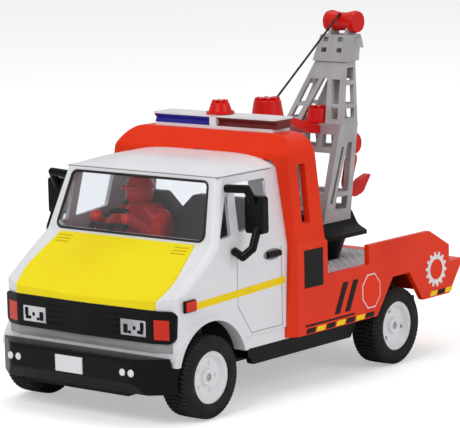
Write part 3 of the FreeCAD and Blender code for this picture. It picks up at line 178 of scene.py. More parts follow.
def flake_lacquer(name, hex_colour, hex_shade, roughness=0.36, metallic=0.35):
    """Plastic under sprayed flake; metallic is how much of the surface the flakes cover."""
    material = blank_material(name)
    place = add_node(material, "ShaderNodeTexCoord")
    cloud = add_node(material, "ShaderNodeTexNoise", values={"Scale": 1 / (9 * MM), "Detail": 3.0},
                     links={"Vector": (place, "Object")})
    flakes = add_node(material, "ShaderNodeTexVoronoi", values={"Scale": 1 / FLAKE_SIZE},
                      links={"Vector": (place, "Object")})
    tone = two_tones(material, cloud, "Fac", hex_shade, hex_colour, 0.3, 0.6)
    bump = add_node(material, "ShaderNodeBump", values={"Strength": 0.15, "Distance": 0.02 * MM},
                    links={"Height": (flakes, "Distance")})
    shader = add_node(material, "ShaderNodeBsdfPrincipled",
                      values={"Metallic": metallic, "Roughness": roughness},
                      links={"Base Color": (tone, "Color"), "Normal": (bump, "Normal")})
    return finish_surface(material, shader)


silver_lacquer = flake_lacquer("silver flake lacquer", "#BDBBBC", "#ABA9AA")
# the valance's grey is partly its lacquer and partly painted shade of that downward-facing strip
valance_grey_and_shade = flake_lacquer("grey flake lacquer darkened as painted shade", "#A6A6A9", "#98989C", roughness=0.4, metallic=0.2)
lamp_silver = flake_lacquer("silvered lamp bowl", "#DADCE0", "#A9ABB0", roughness=0.2, metallic=0.7)
print("lacquers made")

# %% [markdown]
# ## Rubber, rods, cord and clear mouldings
# Soft PVC tyres are matt and pick up dust, so their tone varies and their roughness is high.
# The axles are drawn steel rod: a metal, with fine lines along the rod.
# The cord is twisted, which a slanting wave shows.
# Clear polystyrene bends light a little and is not quite colourless; a thin sheet needs only a slight tint.

# %% Rubber, steel, cord and clear plastic
TWIST_PERIOD = 4.8 * MM     # measured along one axis
WAVE_RADIANS = 10           # what a diagonal wave turns per unit along one axis


def soft_rubber(name, hex_colour, hex_dust):
    """Matt rubber or soft PVC; hex_dust is its tone where dust lies."""
    material = blank_material(name)
    place = add_node(material, "ShaderNodeTexCoord")
    dust = add_node(material, "ShaderNodeTexNoise", values={"Scale": 1 / (5 * MM), "Detail": 5.0},
                    links={"Vector": (place, "Object")})
    tone = two_tones(material, dust, "Fac", hex_colour, hex_dust, 0.4, 0.85)
    fine = add_node(material, "ShaderNodeTexNoise", values={"Scale": 1 / (0.5 * MM), "Detail": 3.0},
                    links={"Vector": (place, "Object")})
    bump = add_node(material, "ShaderNodeBump", values={"Strength": 0.4, "Distance": 0.05 * MM},
                    links={"Height": (fine, "Fac")})
    shader = add_node(material, "ShaderNodeBsdfPrincipled",
                      values={"Roughness": 0.72, "Specular IOR Level": 0.25},
                      links={"Base Color": (tone, "Color"), "Normal": (bump, "Normal")})
    return finish_surface(material, shader)


def drawn_steel(name):
    """Bare rod along X, with the fine lines that drawing leaves."""
    material = blank_material(name)
    place = add_node(material, "ShaderNodeTexCoord")
    line_length, line_width = 8 * MM, 0.2 * MM
    along_rod = add_node(material, "ShaderNodeMapping",
                         values={"Scale": (1 / line_length, 1 / line_width, 1 / line_width)},
                         links={"Vector": (place, "Object")})
    lines = add_node(material, "ShaderNodeTexNoise", values={"Scale": 1.0, "Detail": 2.0},
                     links={"Vector": (along_rod, "Vector")})
    rough = add_node(material, "ShaderNodeMapRange", values={"To Min": 0.25, "To Max": 0.45},
                     links={"Value": (lines, "Fac")})
    shader = add_node(material, "ShaderNodeBsdfPrincipled",
                      values={"Base Color": linear("#B9BABD"), "Metallic": 1.0},
                      links={"Roughness": (rough, "Result")})
    return finish_surface(material, shader)


def twisted_cord(name, hex_dark, hex_light):
    """Twisted thread, light on its strands and dark between them."""
    material = blank_material(name)
    place = add_node(material, "ShaderNodeTexCoord")
    twist = add_node(material, "ShaderNodeTexWave", settings={"bands_direction": "DIAGONAL"},
                     values={"Scale": math.tau / (WAVE_RADIANS * TWIST_PERIOD), "Distortion": 1.0},
                     links={"Vector": (place, "Object")})
    tone = two_tones(material, twist, "Fac", hex_dark, hex_light)
    bump = add_node(material, "ShaderNodeBump", values={"Strength": 0.6, "Distance": 0.1 * MM},
                    links={"Height": (twist, "Fac")})
    shader = add_node(material, "ShaderNodeBsdfPrincipled", values={"Roughness": 0.8},
                      links={"Base Color": (tone, "Color"), "Normal": (bump, "Normal")})
    return finish_surface(material, shader)


def clear_polystyrene(name, hex_tint, roughness=0.03, opacity=0.0):
    """Clear or tinted see-through moulding; a faint ripple keeps its reflections alive."""
    material = blank_material(name)
    place = add_node(material, "ShaderNodeTexCoord")
    ripple = add_node(material, "ShaderNodeTexNoise", values={"Scale": 1 / (12 * MM), "Detail": 1.0},
                      links={"Vector": (place, "Object")})
    bump = add_node(material, "ShaderNodeBump", values={"Strength": 0.08, "Distance": 0.2 * MM},
                    links={"Height": (ripple, "Fac")})
    shader = add_node(material, "ShaderNodeBsdfPrincipled",
                      values={"Base Color": linear(hex_tint), "Roughness": roughness, "IOR": 1.3,
                              "Transmission Weight": 1.0 - opacity, "Coat Weight": 0.3,
                              "Coat Roughness": 0.03},
                      links={"Normal": (bump, "Normal")})
    return finish_surface(material, shader)


seal_rubber = soft_rubber("black seal rubber", "#2A2827", "#373433")
tyre_rubber = soft_rubber("soft black PVC", "#1B1A19", "#2B2A28")
axle_steel = drawn_steel("drawn steel rod")
black_cord = twisted_cord("black twisted cord", "#0E0D0D", "#2B2828")
clear_glazing = clear_polystyrene("clear polystyrene", "#F2F5F8")
blue_lens = clear_polystyrene("blue tinted lens", "#2A1FA8", 0.12, 0.75)
maroon_lens = clear_polystyrene("dark red tinted lens", "#7A1A14", 0.12, 0.75)
amber_lens = clear_polystyrene("orange red tinted lens", "#DC2408", 0.2, 0.92)
print("soft, metal and clear finishes made")

# %% [markdown]
# ## Give each moulding its finish
# The CAD pieces are only recoloured, never reshaped. A table from node to finish is the whole step. The
# roof and the tyres are replaced further down by pieces with more form.

# %% Finish the CAD nodes
FINISHES = {
    white_abs: ["cab_shell", "number_plate"],
    yellow_abs: ["bonnet"],
    flame_abs: ["rear_body"],
    red_abs: ["tail_lamps", "roof_beacon", "tower_beacon", "winch_cover", "winch_arm", "head_roller",
              "hook_block", "hook", "driver_figure"],
    black_abs: ["front_panel", "front_bumper", "chassis", "mirror_left", "mirror_right", "door_handles",
                "steering_wheel", "pedestal", "saddle"],
    grey_abs: ["seats", "dashboard"],
    silver_lacquer: ["crane_tower", "crane_boom", "boom_head"],
    hub_white: ["front_hub_left", "front_hub_right", "rear_hub_left", "rear_hub_right", "light_bar_base",
                "light_bar_cover"],
    tyre_rubber: ["front_tyre_left", "front_tyre_right", "rear_tyre_left", "rear_tyre_right"],
    axle_steel: ["front_axle", "rear_axle"],
    black_cord: ["hoist_line", "hook_line"],
    clear_glazing: ["windscreen", "side_windows", "rear_window"],
    blue_lens: ["light_bar_blue"],
    maroon_lens: ["light_bar_red"],
    amber_lens: ["indicators", "side_markers"],
    lamp_silver: ["headlamps"],
    deck_abs: ["bed_deck"],
}
for finish, nodes in FINISHES.items():
    for node in nodes:
        mesh_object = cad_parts[node]
        for slot in mesh_object.material_slots:
            slot.material = finish
        if not mesh_object.material_slots:
            mesh_object.data.materials.append(finish)
print(sum(len(v) for v in FINISHES.values()), "of", len(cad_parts), "nodes finished")

# %% [markdown]
# ## Turning a bmesh into a piece
# Every added piece ends the same way: weld doubles, point the faces outwards, give it a finish and say
# which body carries it. The shapes themselves come from bmesh operators in the cells that follow.

# %% Finish a piece


def finish_piece(name, shape, material, body, smooth=False):
    """Weld, turn faces outwards, make the object, and let it ride on its body."""
    bmesh.ops.remove_doubles(shape, verts=shape.verts, dist=1e-7)
    bmesh.ops.recalc_face_normals(shape, faces=shape.faces)
    mesh = bpy.data.meshes.new(name)
    shape.to_mesh(mesh)
    shape.free()
    mesh.materials.append(material)
    if smooth:
        mesh.shade_smooth()
    piece = bpy.data.objects.new(name, mesh)
    bpy.context.scene.collection.objects.link(piece)
    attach(piece, body)
    return piece


# %% [markdown]
# ## The chequered deck
# The bed is moulded with a raised chequer: small lozenges that lean left and right by turns. Each one is a
# four-sided cone cut short, squeezed and turned, and nested loops lay them out in rows. A bump would look
# the same from above, but real bars also stand up in a view along the deck. The ones that would meet the
# crane's pedestal are left out. The bars are painted far lighter than the deck: painted highlight on their
# raised tops.

# %% Chequer bars
CHEQUER_PITCH = 1.7
BAR_LENGTH, BAR_SQUEEZE, BAR_HEIGHT = 1.9, 0.42, 0.24
BAR_SINK = 0.02             # how far a bar's foot lies in the deck
BARS_EACH_SIDE = 20         # of the centre line
PEDESTAL_AT, PEDESTAL_CLEAR = Vector((0, along(98.0))), 8.2
# the deck's two levels: first station, last station, z of the surface
LEVELS = ((55.0, 84.6, 30.8), (86.6, 117.0, 30.5))
shape = bmesh.new()
for first, last, surface in LEVELS:
    for row in range(int((last - first) / CHEQUER_PITCH) + 1):
        for column in range(-BARS_EACH_SIDE, BARS_EACH_SIDE + 1):
            at = Vector((column * CHEQUER_PITCH, along(first + row * CHEQUER_PITCH)))
            if (at - PEDESTAL_AT).length < PEDESTAL_CLEAR:
                continue
            lean = math.radians(45 if (row + column) % 2 else -45)
            middle_z = surface + BAR_HEIGHT / 2 - BAR_SINK
            place = (Matrix.Translation(Vector((at.x, at.y, middle_z)) * MM)
                     @ Matrix.Rotation(lean, 4, "Z") @ Matrix.Diagonal((1, BAR_SQUEEZE, 1, 1)))
            bmesh.ops.create_cone(shape, cap_ends=True, segments=4, radius1=BAR_LENGTH / 2 * MM,
                                  radius2=BAR_LENGTH / 3 * MM, depth=BAR_HEIGHT * MM, matrix=place)
# the bars take the painted highlight finish, lighter than the deck under them
chequer_bars = finish_piece("chequer_bars", shape, chequer_highlight_abs, "truck")
print("chequer", len(chequer_bars.data.polygons), "faces")

# %% [markdown]
# ## The roof moulding
# The roof of such a cab is a shallow dome, and a moulding has no facets. The CAD model keeps it to a few
# planes; here a grid of points is lifted by one formula, flat in the middle and falling to the gutter at
# the sides and the front. The skin is then given its wall by an inner copy, and the open edges are bridged.

# %% Roof
roof_low, roof_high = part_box("cab_roof")
ROOF_WALL = 1.5 * MM
ACROSS, BACK = 24, 14       # steps of the grid
FLATNESS = 5                # the higher, the flatter the dome's middle
FRONT_SHARE = 0.94          # the dome's height towards the front, as a share of that at the rear


def roof_point(u, v, wall=0.0):
    """u runs from -1 to 1 across the roof, v from 0 at the front to 1 at the rear."""
    half = roof_high[0] - wall
    front = roof_low[1] + wall
    rise = (roof_high[2] - roof_low[2] - wall) * (1 - abs(u) ** FLATNESS) * (1 - (1 - v) ** FLATNESS)
    slope = FRONT_SHARE + (1 - FRONT_SHARE) * v
    return Vector((half * u, front + (roof_high[1] - front) * v, roof_low[2] + rise * slope))


CROWDING = 1.6              # draws the grid's steps together where the skin bends most


def across(i):
    """The u of column i, with the columns closer towards both gutters."""
    share = 2 * i / ACROSS - 1
    return math.copysign(1 - (1 - abs(share)) ** CROWDING, share)


shape = bmesh.new()
skins = []
for wall in (0.0, ROOF_WALL):
    skin = [[shape.verts.new(roof_point(across(i), (j / BACK) ** CROWDING, wall))
             for i in range(ACROSS + 1)] for j in range(BACK + 1)]
    for j in range(BACK):
        for i in range(ACROSS):
            shape.faces.new((skin[j][i], skin[j][i + 1], skin[j + 1][i + 1], skin[j + 1][i]))
    skins.append(skin)


def border(skin):
    """The points round a skin's edge, in order."""
    last = len(skin) - 1
    return (skin[0][:-1] + [row[-1] for row in skin[:-1]]
            + skin[last][:0:-1] + [row[0] for row in skin[:0:-1]])


outer, inner = border(skins[0]), border(skins[1])
for i in range(len(outer)):
    following = (i + 1) % len(outer)
    shape.faces.new((outer[i], outer[following], inner[following], inner[i]))
roof = finish_piece("roof_skin", shape, white_abs, "truck", smooth=True)
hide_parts("cab_roof")
print("roof", len(roof.data.polygons), "faces")

# %% [markdown]
# ## Tyres with tread
# A tyre is a section spun about the axle. Its tread is short blocks across the crown. The section is a few
# points, spun in steps; the crown's faces are then raised one by one with an individual inset, which leaves
# a groove between neighbours as a mould does. Turning the rows against each other makes them slant.

# %% Tyres
TYRE_RADIUS = 12.5
BEAD_RADIUS = 7.9           # where the tyre grips its hub
GROOVE_DEPTH = 0.7
TREAD_STEPS = 54
TREAD_SLANT = 9             # degrees that a row turns per width, counted from its middle


def tyre(name, node, body, axle_y, sign):
    """A tyre whose outer face is towards sign, spun about the axle line."""
    low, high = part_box(node)
    inner, outer = sorted((abs(low[0]), abs(high[0])))
    grip = BEAD_RADIUS * MM
    carcass = (TYRE_RADIUS - GROOVE_DEPTH) * MM
    width = outer - inner
    # the section as (x, radius): inner wall, crown, outer wall
    section = [(inner + 0.2 * MM, grip), (inner, grip + 1.6 * MM), (inner + 0.2 * MM, carcass - 1.6 * MM),
               (inner + 0.9 * MM, carcass - 0.1 * MM), (inner + width * 0.3, carcass),
               (inner + width * 0.5, carcass), (inner + width * 0.7, carcass),
               (outer - 0.9 * MM, carcass - 0.1 * MM), (outer - 0.25 * MM, carcass - 1.5 * MM),
               (outer - 0.05 * MM, carcass - 2.4 * MM), (outer, grip + 1.3 * MM), (outer - 0.35 * MM, grip)]
    shape = bmesh.new()
    ring = [shape.verts.new((sign * x, axle_y * MM, TYRE_RADIUS * MM + r)) for x, r in section]
    edges = [shape.edges.new((ring[i], ring[(i + 1) % len(ring)])) for i in range(len(ring))]
    centre = Vector((0, axle_y * MM, TYRE_RADIUS * MM))
    bmesh.ops.spin(shape, geom=ring + edges, cent=centre, axis=(1, 0, 0), angle=math.tau, steps=TREAD_STEPS,
                   use_merge=True, use_duplicate=False)
    bmesh.ops.recalc_face_normals(shape, faces=shape.faces)

    def radius(point):
        return math.hypot(point.y - centre.y, point.z - centre.z)
    # the rows of the crown slant: each ring of points turns with its distance from the middle
    middle = sign * (inner + outer) / 2
    for vertex in shape.verts:
        if radius(vertex.co) > carcass - 0.3 * MM:
            slant = abs(vertex.co.x - middle) / width * math.radians(TREAD_SLANT)
            vertex.co = centre + Matrix.Rotation(slant, 3, "X") @ (vertex.co - centre)
    # the crown is at the carcass's full radius, and the shoulder slopes down from it
    crown = [f for f in shape.faces if radius(f.calc_center_median()) > carcass - 0.25 * MM]
    bmesh.ops.inset_individual(shape, faces=crown, thickness=0.22 * MM, depth=0.55 * MM,
                               use_even_offset=True)
    shoulder = [f for f in shape.faces
                if carcass - 1.2 * MM < radius(f.calc_center_median()) < carcass - 0.5 * MM
                and abs(f.normal.x) < 0.95]
    bmesh.ops.inset_individual(shape, faces=shoulder, thickness=0.24 * MM, depth=0.25 * MM,
                               use_even_offset=True)
    piece = finish_piece(name, shape, tyre_rubber, body)
    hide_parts(node)
    return piece


for body, axle_y in (("front_wheels", along(0)), ("rear_wheels", along(WHEELBASE))):
    end = body.split("_")[0]
    for side, sign in (("left", 1), ("right", -1)):
        made = tyre(f"{end}_tread_{side}", f"{end}_tyre_{side}", body, axle_y, sign)
        print(made.name, len(made.data.polygons), "faces")

# %% [markdown]
# ## Printed and applied flat pieces
# Stripes and signs are prints or stickers, a tenth of a millimetre thick. Each is an outline drawn with a
# few points, extruded. A print on a flank repeats on the other side, so the helper makes both in one mesh
# with bmesh's mirror.

# %% Flat prints
PRINT = 0.10                # thickness of a print in millimetres


def print_finish(name, hex_colour, hex_worn, roughness=0.42):
    """Screen-printed ink: even, a little matt, and slightly thin in places."""
    material = blank_material(name)
    place = add_node(material, "ShaderNodeTexCoord")
    thin = add_node(material, "ShaderNodeTexNoise", values={"Scale": 1 / (3 * MM), "Detail": 4.0},
                    links={"Vector": (place, "Object")})
    tone = two_tones(material, thin, "Fac", hex_worn, hex_colour, 0.3, 0.42)
    shader = add_node(material, "ShaderNodeBsdfPrincipled",
                      values={"Roughness": roughness, "IOR": 1.5, "Specular IOR Level": 0.2},
                      links={"Base Color": (tone, "Color")})
    return finish_surface(material, shader)


yellow_ink = print_finish("yellow printed ink", "#FBD90A", "#F0CC06")
black_ink = print_finish("black printed ink", "#060606", "#0C0C0C")
white_ink = print_finish("white printed ink", "#ECECEC", "#E0E0E0")
flame_ink = print_finish("orange red printed ink", "#EC3200", "#E02B00")
shut_line = print_finish("shadow in a shut line", "#8E8E93", "#86868B", 0.7)


def flank_print(name, outlines, x_mm, material, thickness=PRINT):
    """Flat pieces on both flanks, lying on the plane x_mm; an outline is a list of (station, z)."""
    shape = bmesh.new()
    for outline in outlines:
        corners = [shape.verts.new((x_mm * MM, along(u) * MM, v * MM)) for u, v in outline]
        face = shape.faces.new(corners)
        wall = bmesh.ops.extrude_face_region(shape, geom=[face])
        bmesh.ops.translate(shape, vec=(thickness * MM, 0, 0),
                            verts=[v for v in wall["geom"] if isinstance(v, bmesh.types.BMVert)])
    bmesh.ops.mirror(shape, geom=shape.verts[:] + shape.edges[:] + shape.faces[:], matrix=Matrix.Identity(4),
                     merge_dist=-1, axis="X")
    piece = finish_piece(name, shape, material, "truck")
    return piece


def regular(sides, u, v, radius, turn=0.0):
    """The corners of a regular outline about (u, v)."""
    angles = [turn + math.tau * i / sides for i in range(sides)]
    return [(u + radius * math.cos(a), v + radius * math.sin(a)) for a in angles]


BODY_X = 37.7               # the rear body's flank
CAB_X = 34.75               # the cab's flank
flank_print("cab_stripe", [[(-5.9, 33.0), (37.0, 34.7), (37.0, 36.9), (-5.9, 35.1)]], CAB_X, yellow_ink)
flank_print("sign_panel", [[(42.8, 32.2), (52.0, 32.2), (52.0, 43.8), (42.8, 43.8)]], BODY_X, black_ink)
flank_print("slanted_bars", [[(57.4, 21.9), (60.0, 21.9), (64.6, 31.2), (62.0, 31.2)],
                             [(62.6, 21.9), (65.2, 21.9), (69.8, 31.2), (67.2, 31.2)],
                             [(43.0, 20.3), (67.5, 20.3), (67.5, 20.9), (43.0, 20.9)]], BODY_X, black_ink)
OCTAGON_AT = (76.4, 26.4)
SIGN_STRETCH = 1.16         # the octagon is a little taller than wide


def octagon(radius):
    """The octagon's corners for a radius across its width."""
    corners = regular(8, 0, 0, radius, math.radians(22.5))
    return [(OCTAGON_AT[0] + u, OCTAGON_AT[1] + v * SIGN_STRETCH) for u, v in corners]


flank_print("octagon_rim", [octagon(5.0)], BODY_X, white_ink)
flank_print("octagon_sign", [octagon(4.65)], BODY_X + PRINT * 0.8, flame_ink)
COG_AT = (111.6, 28.0)
COG_TEETH = 14
COG_ROOT, COG_TIP = 4.7, 5.7
cog = []
for tooth in range(COG_TEETH):
    for share, radius in ((0.0, COG_ROOT), (0.5, COG_ROOT), (0.58, COG_TIP), (0.92, COG_TIP)):
        turn = math.tau * (tooth + share) / COG_TEETH
        cog.append((COG_AT[0] + radius * math.cos(turn), COG_AT[1] + radius * math.sin(turn)))
flank_print("cog_ring", [cog], BODY_X, white_ink)
flank_print("cog_middle", [regular(32, *COG_AT, 3.3)], BODY_X + PRINT * 0.8, flame_ink)

# dashes along the lower edges take turns in black and yellow; a run is (station, z, length)
DASH, DASH_PITCH, DASH_HEIGHT, DASH_LEAN = 4.3, 5.0, 1.5, 0.7
TAIL_DASH, TAIL_PITCH = 3.6, 4.2
for number, (colour_name, ink) in enumerate((("black", black_ink), ("yellow", yellow_ink))):
    runs = [(43.0 + DASH_PITCH * i, 18.2, DASH) for i in range(number, 7, 2)]
    runs += [(108.0 + TAIL_PITCH * i, 19.6, TAIL_DASH) for i in range(1 - number, 3, 2)]
    outlines = [[(u, z), (u + length, z), (u + length + DASH_LEAN, z + DASH_HEIGHT),
                 (u + DASH_LEAN, z + DASH_HEIGHT)] for u, z, length in runs]
    flank_print("edge_dashes_" + colour_name, outlines, BODY_X, ink)
print("prints laid on both flanks")

# %% [markdown]
# ## Shut lines of the doors
# The doors are moulded shut, with fine lines round them. A line is a very thin dark strip lying on the
# skin, because it is too fine to be cut into the wall. Behind each handle lies a flat grey oval: painted
# shade for the recess there.

# %% Door lines
LINE = 0.22                 # width of a shut line


def strip(start, end):
    """The outline of a thin line between two points (station, z)."""
    run = Vector((end[0] - start[0], end[1] - start[1])).normalized()
    side = Vector((-run.y, run.x)) * LINE / 2
    return [(start[0] - side.x, start[1] - side.y), (end[0] - side.x, end[1] - side.y),
            (end[0] + side.x, end[1] + side.y), (start[0] + side.x, start[1] + side.y)]


DOOR = [(14.6, 46.2), (14.6, 31.0), (20.6, 22.2), (35.4, 22.2), (35.4, 46.2)]
flank_print("door_lines", [strip(DOOR[i], DOOR[i + 1]) for i in range(len(DOOR) - 1)], CAB_X, shut_line,
            thickness=0.03)
# the flat grey oval is painted shade for the recess behind the handle
recess = [(31.2 + 4.3 * u, 44.3 + 1.7 * v) for u, v in regular(20, 0, 0, 1.0)]
flank_print("handle_recess_shade", [recess], CAB_X, shut_line, thickness=0.05)
print("door lines made")

# %% [markdown]
# ## Face of the truck
# The black panel carries fine horizontal ribs between the headlamps. Each headlamp is one silvered piece;
# dark blocks on it are painted reflection: they stand for the dark facets that a moulded reflector shows.
# Four small discs are the bumper's lamps.
# A rib is a box stretched to size, and its edges are bevelled so that it catches light.

# %% Panel ribs, lamp blocks and bumper lamps


def bar(shape, low, high, bevel=0.0):
    """Add a box between two corners to a bmesh, in millimetres, with its edges bevelled on request."""
    made = bmesh.ops.create_cube(shape, size=1.0)["verts"]
    size = [(high[i] - low[i]) * MM for i in range(3)]
    middle = [(high[i] + low[i]) / 2 * MM for i in range(3)]
    bmesh.ops.scale(shape, vec=size, verts=made)
    bmesh.ops.translate(shape, vec=middle, verts=made)
    if bevel > 0:
        edges = list({e for v in made for e in v.link_edges})
        bmesh.ops.bevel(shape, geom=edges, offset=bevel * MM, segments=2, affect="EDGES",
                        profile=0.5, material=-1)


PANEL_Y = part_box("front_panel")[0][1] / MM
RIB_COUNT, RIB_LOW, RIB_PITCH, RIB_HEIGHT, RIB_HALF = 4, 25.9, 1.75, 0.5, 14.0
shape = bmesh.new()
for row in range(RIB_COUNT):
    z = RIB_LOW + row * RIB_PITCH
    bar(shape, (-RIB_HALF, PANEL_Y + 0.15, z), (RIB_HALF, PANEL_Y + 0.75, z + RIB_HEIGHT), 0.1)
panel_ribs = finish_piece("panel_ribs", shape, black_abs, "truck")

LAMP_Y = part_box("headlamps")[0][1] / MM
# the painted dark reflections of the left lamp, as blocks: inner x, outer x, low z, high z
LAMP_REFLECTION_PATCHES = ((15.9, 17.7, 26.2, 29.0), (17.7, 18.9, 26.2, 27.2), (19.6, 20.6, 27.4, 28.6),
               (21.2, 23.4, 26.4, 27.4), (22.4, 23.6, 27.4, 29.9))
shape = bmesh.new()
for sign in (1, -1):
    for u0, u1, z0, z1 in LAMP_REFLECTION_PATCHES:
        low, high = sorted((sign * u0, sign * u1))
        bar(shape, (low, LAMP_Y - 0.08, z0), (high, LAMP_Y + 0.5, z1), 0.3)
# black patches flush on the lamp: painted reflection of the reflector's dark facets
lamp_dark_reflections = finish_piece("lamp_dark_reflections", shape, black_abs, "truck")

BUMPER_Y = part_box("front_bumper")[0][1] / MM
BUMPER_LAMP_Z = 16.2
face_forward = Matrix.Rotation(math.radians(90), 4, "X")
shape = bmesh.new()
for x in (-24.0, -20.8, 20.8, 24.0):
    place = Matrix.Translation(Vector((x, BUMPER_Y - 0.08, BUMPER_LAMP_Z)) * MM)
    bmesh.ops.create_cone(shape, cap_ends=True, segments=24, radius1=1.15 * MM, radius2=0.95 * MM,
                          depth=0.36 * MM, matrix=place @ face_forward)
bumper_lamps = finish_piece("bumper_lamps", shape, white_ink, "truck")
print("front pieces made")

# %% [markdown]
# ## Valance
# Under the black panel the nose shows a grey strip with two raised lines; its grey is partly lacquer and
# partly painted shade, as the strip faces a little downwards. It follows the nose: the skin is either the
# cab's side outline or its plan, whichever lies further back, so a small function gives its Y.
# A band is a four-cornered section repeated along a row of stations, and one helper joins the stations.

# %% Valance
NOSE_AT, SILL_Z, BONNET_Z = -15.2, 17.4, 35.3
NOSE_BACK = 0.9             # how far the nose falls back at the corner of its plan, and at the sill
NOSE_CORNER = 26.9          # x of the plan's corner
CORNER_SLOPE = 0.36         # how fast the skin falls back beyond the corner


def nose_y(x, z):
    """Y of the nose's skin at x and z, all in millimetres."""
    x = abs(x)
    if x < NOSE_CORNER:
        by_plan = NOSE_BACK * x / NOSE_CORNER
    else:
        by_plan = NOSE_BACK + (x - NOSE_CORNER) * CORNER_SLOPE
    by_side = NOSE_BACK * (BONNET_Z - z) / (BONNET_Z - SILL_Z)
    return along(NOSE_AT) + max(by_plan, by_side)


def join_sections(shape, rows, closed=False):
    """Faces between neighbouring sections of four corners each; an open band also gets its two ends."""
    for i in range(len(rows) if closed else len(rows) - 1):
        following = rows[(i + 1) % len(rows)]
        for j in range(4):
            shape.faces.new((rows[i][j], rows[i][(j + 1) % 4], following[(j + 1) % 4], following[j]))
    if not closed:
        for end in (rows[0], rows[-1]):
            shape.faces.new(end)


BAND_HALF, BAND_STEPS = 32.4, 48
STATIONS = [-BAND_HALF + 2 * BAND_HALF * i / BAND_STEPS for i in range(BAND_STEPS + 1)]
BAND_BACK = 0.4             # the bands' rear faces lie this far inside the skin
# low z, high z, how far the band stands out, the half width it stays within
BANDS = ((21.2, 24.1, 0.12, 32.5), (22.0, 22.3, 0.24, 17.0), (23.2, 23.5, 0.24, 17.0))
shape = bmesh.new()
for z_low, z_high, proud, reach in BANDS:
    section = ((z_low, BAND_BACK), (z_low, -proud), (z_high, -proud), (z_high, BAND_BACK))
    join_sections(shape, [
        [shape.verts.new(Vector((x, nose_y(x, z) + depth, z)) * MM) for z, depth in section]
        for x in STATIONS if abs(x) < reach])
valance = finish_piece("valance", shape, valance_grey_and_shade, "truck")
print("valance", len(valance.data.polygons), "faces")

# %% [markdown]
# ## Windscreen rubber and roof gutter
# The windscreen sits in a rubber seal, a bead carried round a closed path. The path is a rounded outline in
# the screen's own plane: the distance across and the distance up its slope. The gutter is a thin dark line
# under the roof's edge, made from three bars.

# %% Seal and gutter
SCREEN_FOOT = Vector((0, along(5.6), 50.0))
SCREEN_HEAD = Vector((0, along(12.2), 69.3))
UP_SCREEN = (SCREEN_HEAD - SCREEN_FOOT).normalized()
OUT_OF_SCREEN = Vector((0, -UP_SCREEN.z, UP_SCREEN.y))
SEAL_LOW, SEAL_HIGH, SEAL_CORNER = 1.0, 18.9, 2.0
SEAL_FOOT_HALF, SEAL_HEAD_HALF = 29.3, 27.2
SEAL_WIDTH, SEAL_HEIGHT, SEAL_SINK = 0.8, 0.25, 0.2
CORNER_STEPS = 6


def bead(shape, path, out):
    """A closed bead of rubber along path (millimetres), standing out of the skin."""
    rows = []
    for i, point in enumerate(path):
        run = (path[(i + 1) % len(path)] - path[i - 1]).normalized()
        side = out.cross(run).normalized() * SEAL_WIDTH / 2
        corners = (point - side - out * SEAL_SINK, point - side * 0.75 + out * SEAL_HEIGHT,
                   point + side * 0.75 + out * SEAL_HEIGHT, point + side - out * SEAL_SINK)
        rows.append([shape.verts.new(corner * MM) for corner in corners])
    join_sections(shape, rows, closed=True)


# each corner: x, distance up the slope, the angle at which its round begins
SEAL_CORNERS = ((-SEAL_FOOT_HALF, SEAL_LOW, 180), (SEAL_FOOT_HALF, SEAL_LOW, 270),
                (SEAL_HEAD_HALF, SEAL_HIGH, 0), (-SEAL_HEAD_HALF, SEAL_HIGH, 90))
path = []
for x, up_slope, start in SEAL_CORNERS:
    middle_x = x - math.copysign(SEAL_CORNER, x)
    middle_up = up_slope + (SEAL_CORNER if up_slope == SEAL_LOW else -SEAL_CORNER)
    for step in range(CORNER_STEPS + 1):
        turn = math.radians(start + 90 * step / CORNER_STEPS)
        sideways = Vector((middle_x + SEAL_CORNER * math.cos(turn), 0, 0))
        path.append(SCREEN_FOOT + sideways + UP_SCREEN * (middle_up + SEAL_CORNER * math.sin(turn)))
shape = bmesh.new()
bead(shape, path, OUT_OF_SCREEN)
screen_seal = finish_piece("screen_seal", shape, seal_rubber, "truck")

# the gutter: one bar across the front, and one along each side to the cab's rear
GUTTER_HEIGHT, GUTTER_HALF = 0.25, 29.8
gutter_low, gutter_high, head_y = SCREEN_HEAD.z - GUTTER_HEIGHT, SCREEN_HEAD.z, SCREEN_HEAD.y
shape = bmesh.new()
bar(shape, (-GUTTER_HALF, head_y - 0.08, gutter_low), (GUTTER_HALF, head_y + 0.3, gutter_high))
for sign in (1, -1):
    low_x, high_x = sorted((sign * (GUTTER_HALF + 0.1), sign * (GUTTER_HALF + 0.48)))
    bar(shape, (low_x, head_y + 0.6, gutter_low), (high_x, along(36.6), gutter_high))
roof_gutter = finish_piece("roof_gutter", shape, shut_line, "truck")
print("seal and gutter made")

# %% [markdown]
# ## Bonnet vents
# Three fine lines lie near each rear corner of the bonnet. Each is a cube, stretched and tilted to the
# bonnet's slope, a little way down from the windscreen.

# %% Vents
BONNET_RUN = (SCREEN_FOOT - Vector((0, along(NOSE_AT), BONNET_Z))).normalized()
BONNET_OUT = Vector((0, -BONNET_RUN.z, BONNET_RUN.y))
BONNET_TOP = 0.55           # height of the vents' middle above the cab's skin
VENT_SIZE = Vector((5.4, 0.4, 0.2))
tilt = Matrix.Rotation(math.atan2(BONNET_RUN.z, BONNET_RUN.y), 4, "X")
shape = bmesh.new()
for down in (2.2, 3.5, 4.8):
    for x in (-23.2, 23.2):
        middle = SCREEN_FOOT + Vector((x, 0, 0)) - BONNET_RUN * down + BONNET_OUT * BONNET_TOP
        vent = bmesh.ops.create_cube(shape, size=1.0)["verts"]
        bmesh.ops.scale(shape, vec=VENT_SIZE * MM, verts=vent)
        bmesh.ops.transform(shape, matrix=Matrix.Translation(middle * MM) @ tilt, verts=vent)
bonnet_vents = finish_piece("bonnet_vents", shape, vent_yellow, "truck")
print("vents made")

# %% [markdown]
# ## Trim round the side markers, and mirror glass
# Each side marker sits in a black bezel of three bars. The mirrors have a bright face at the rear.

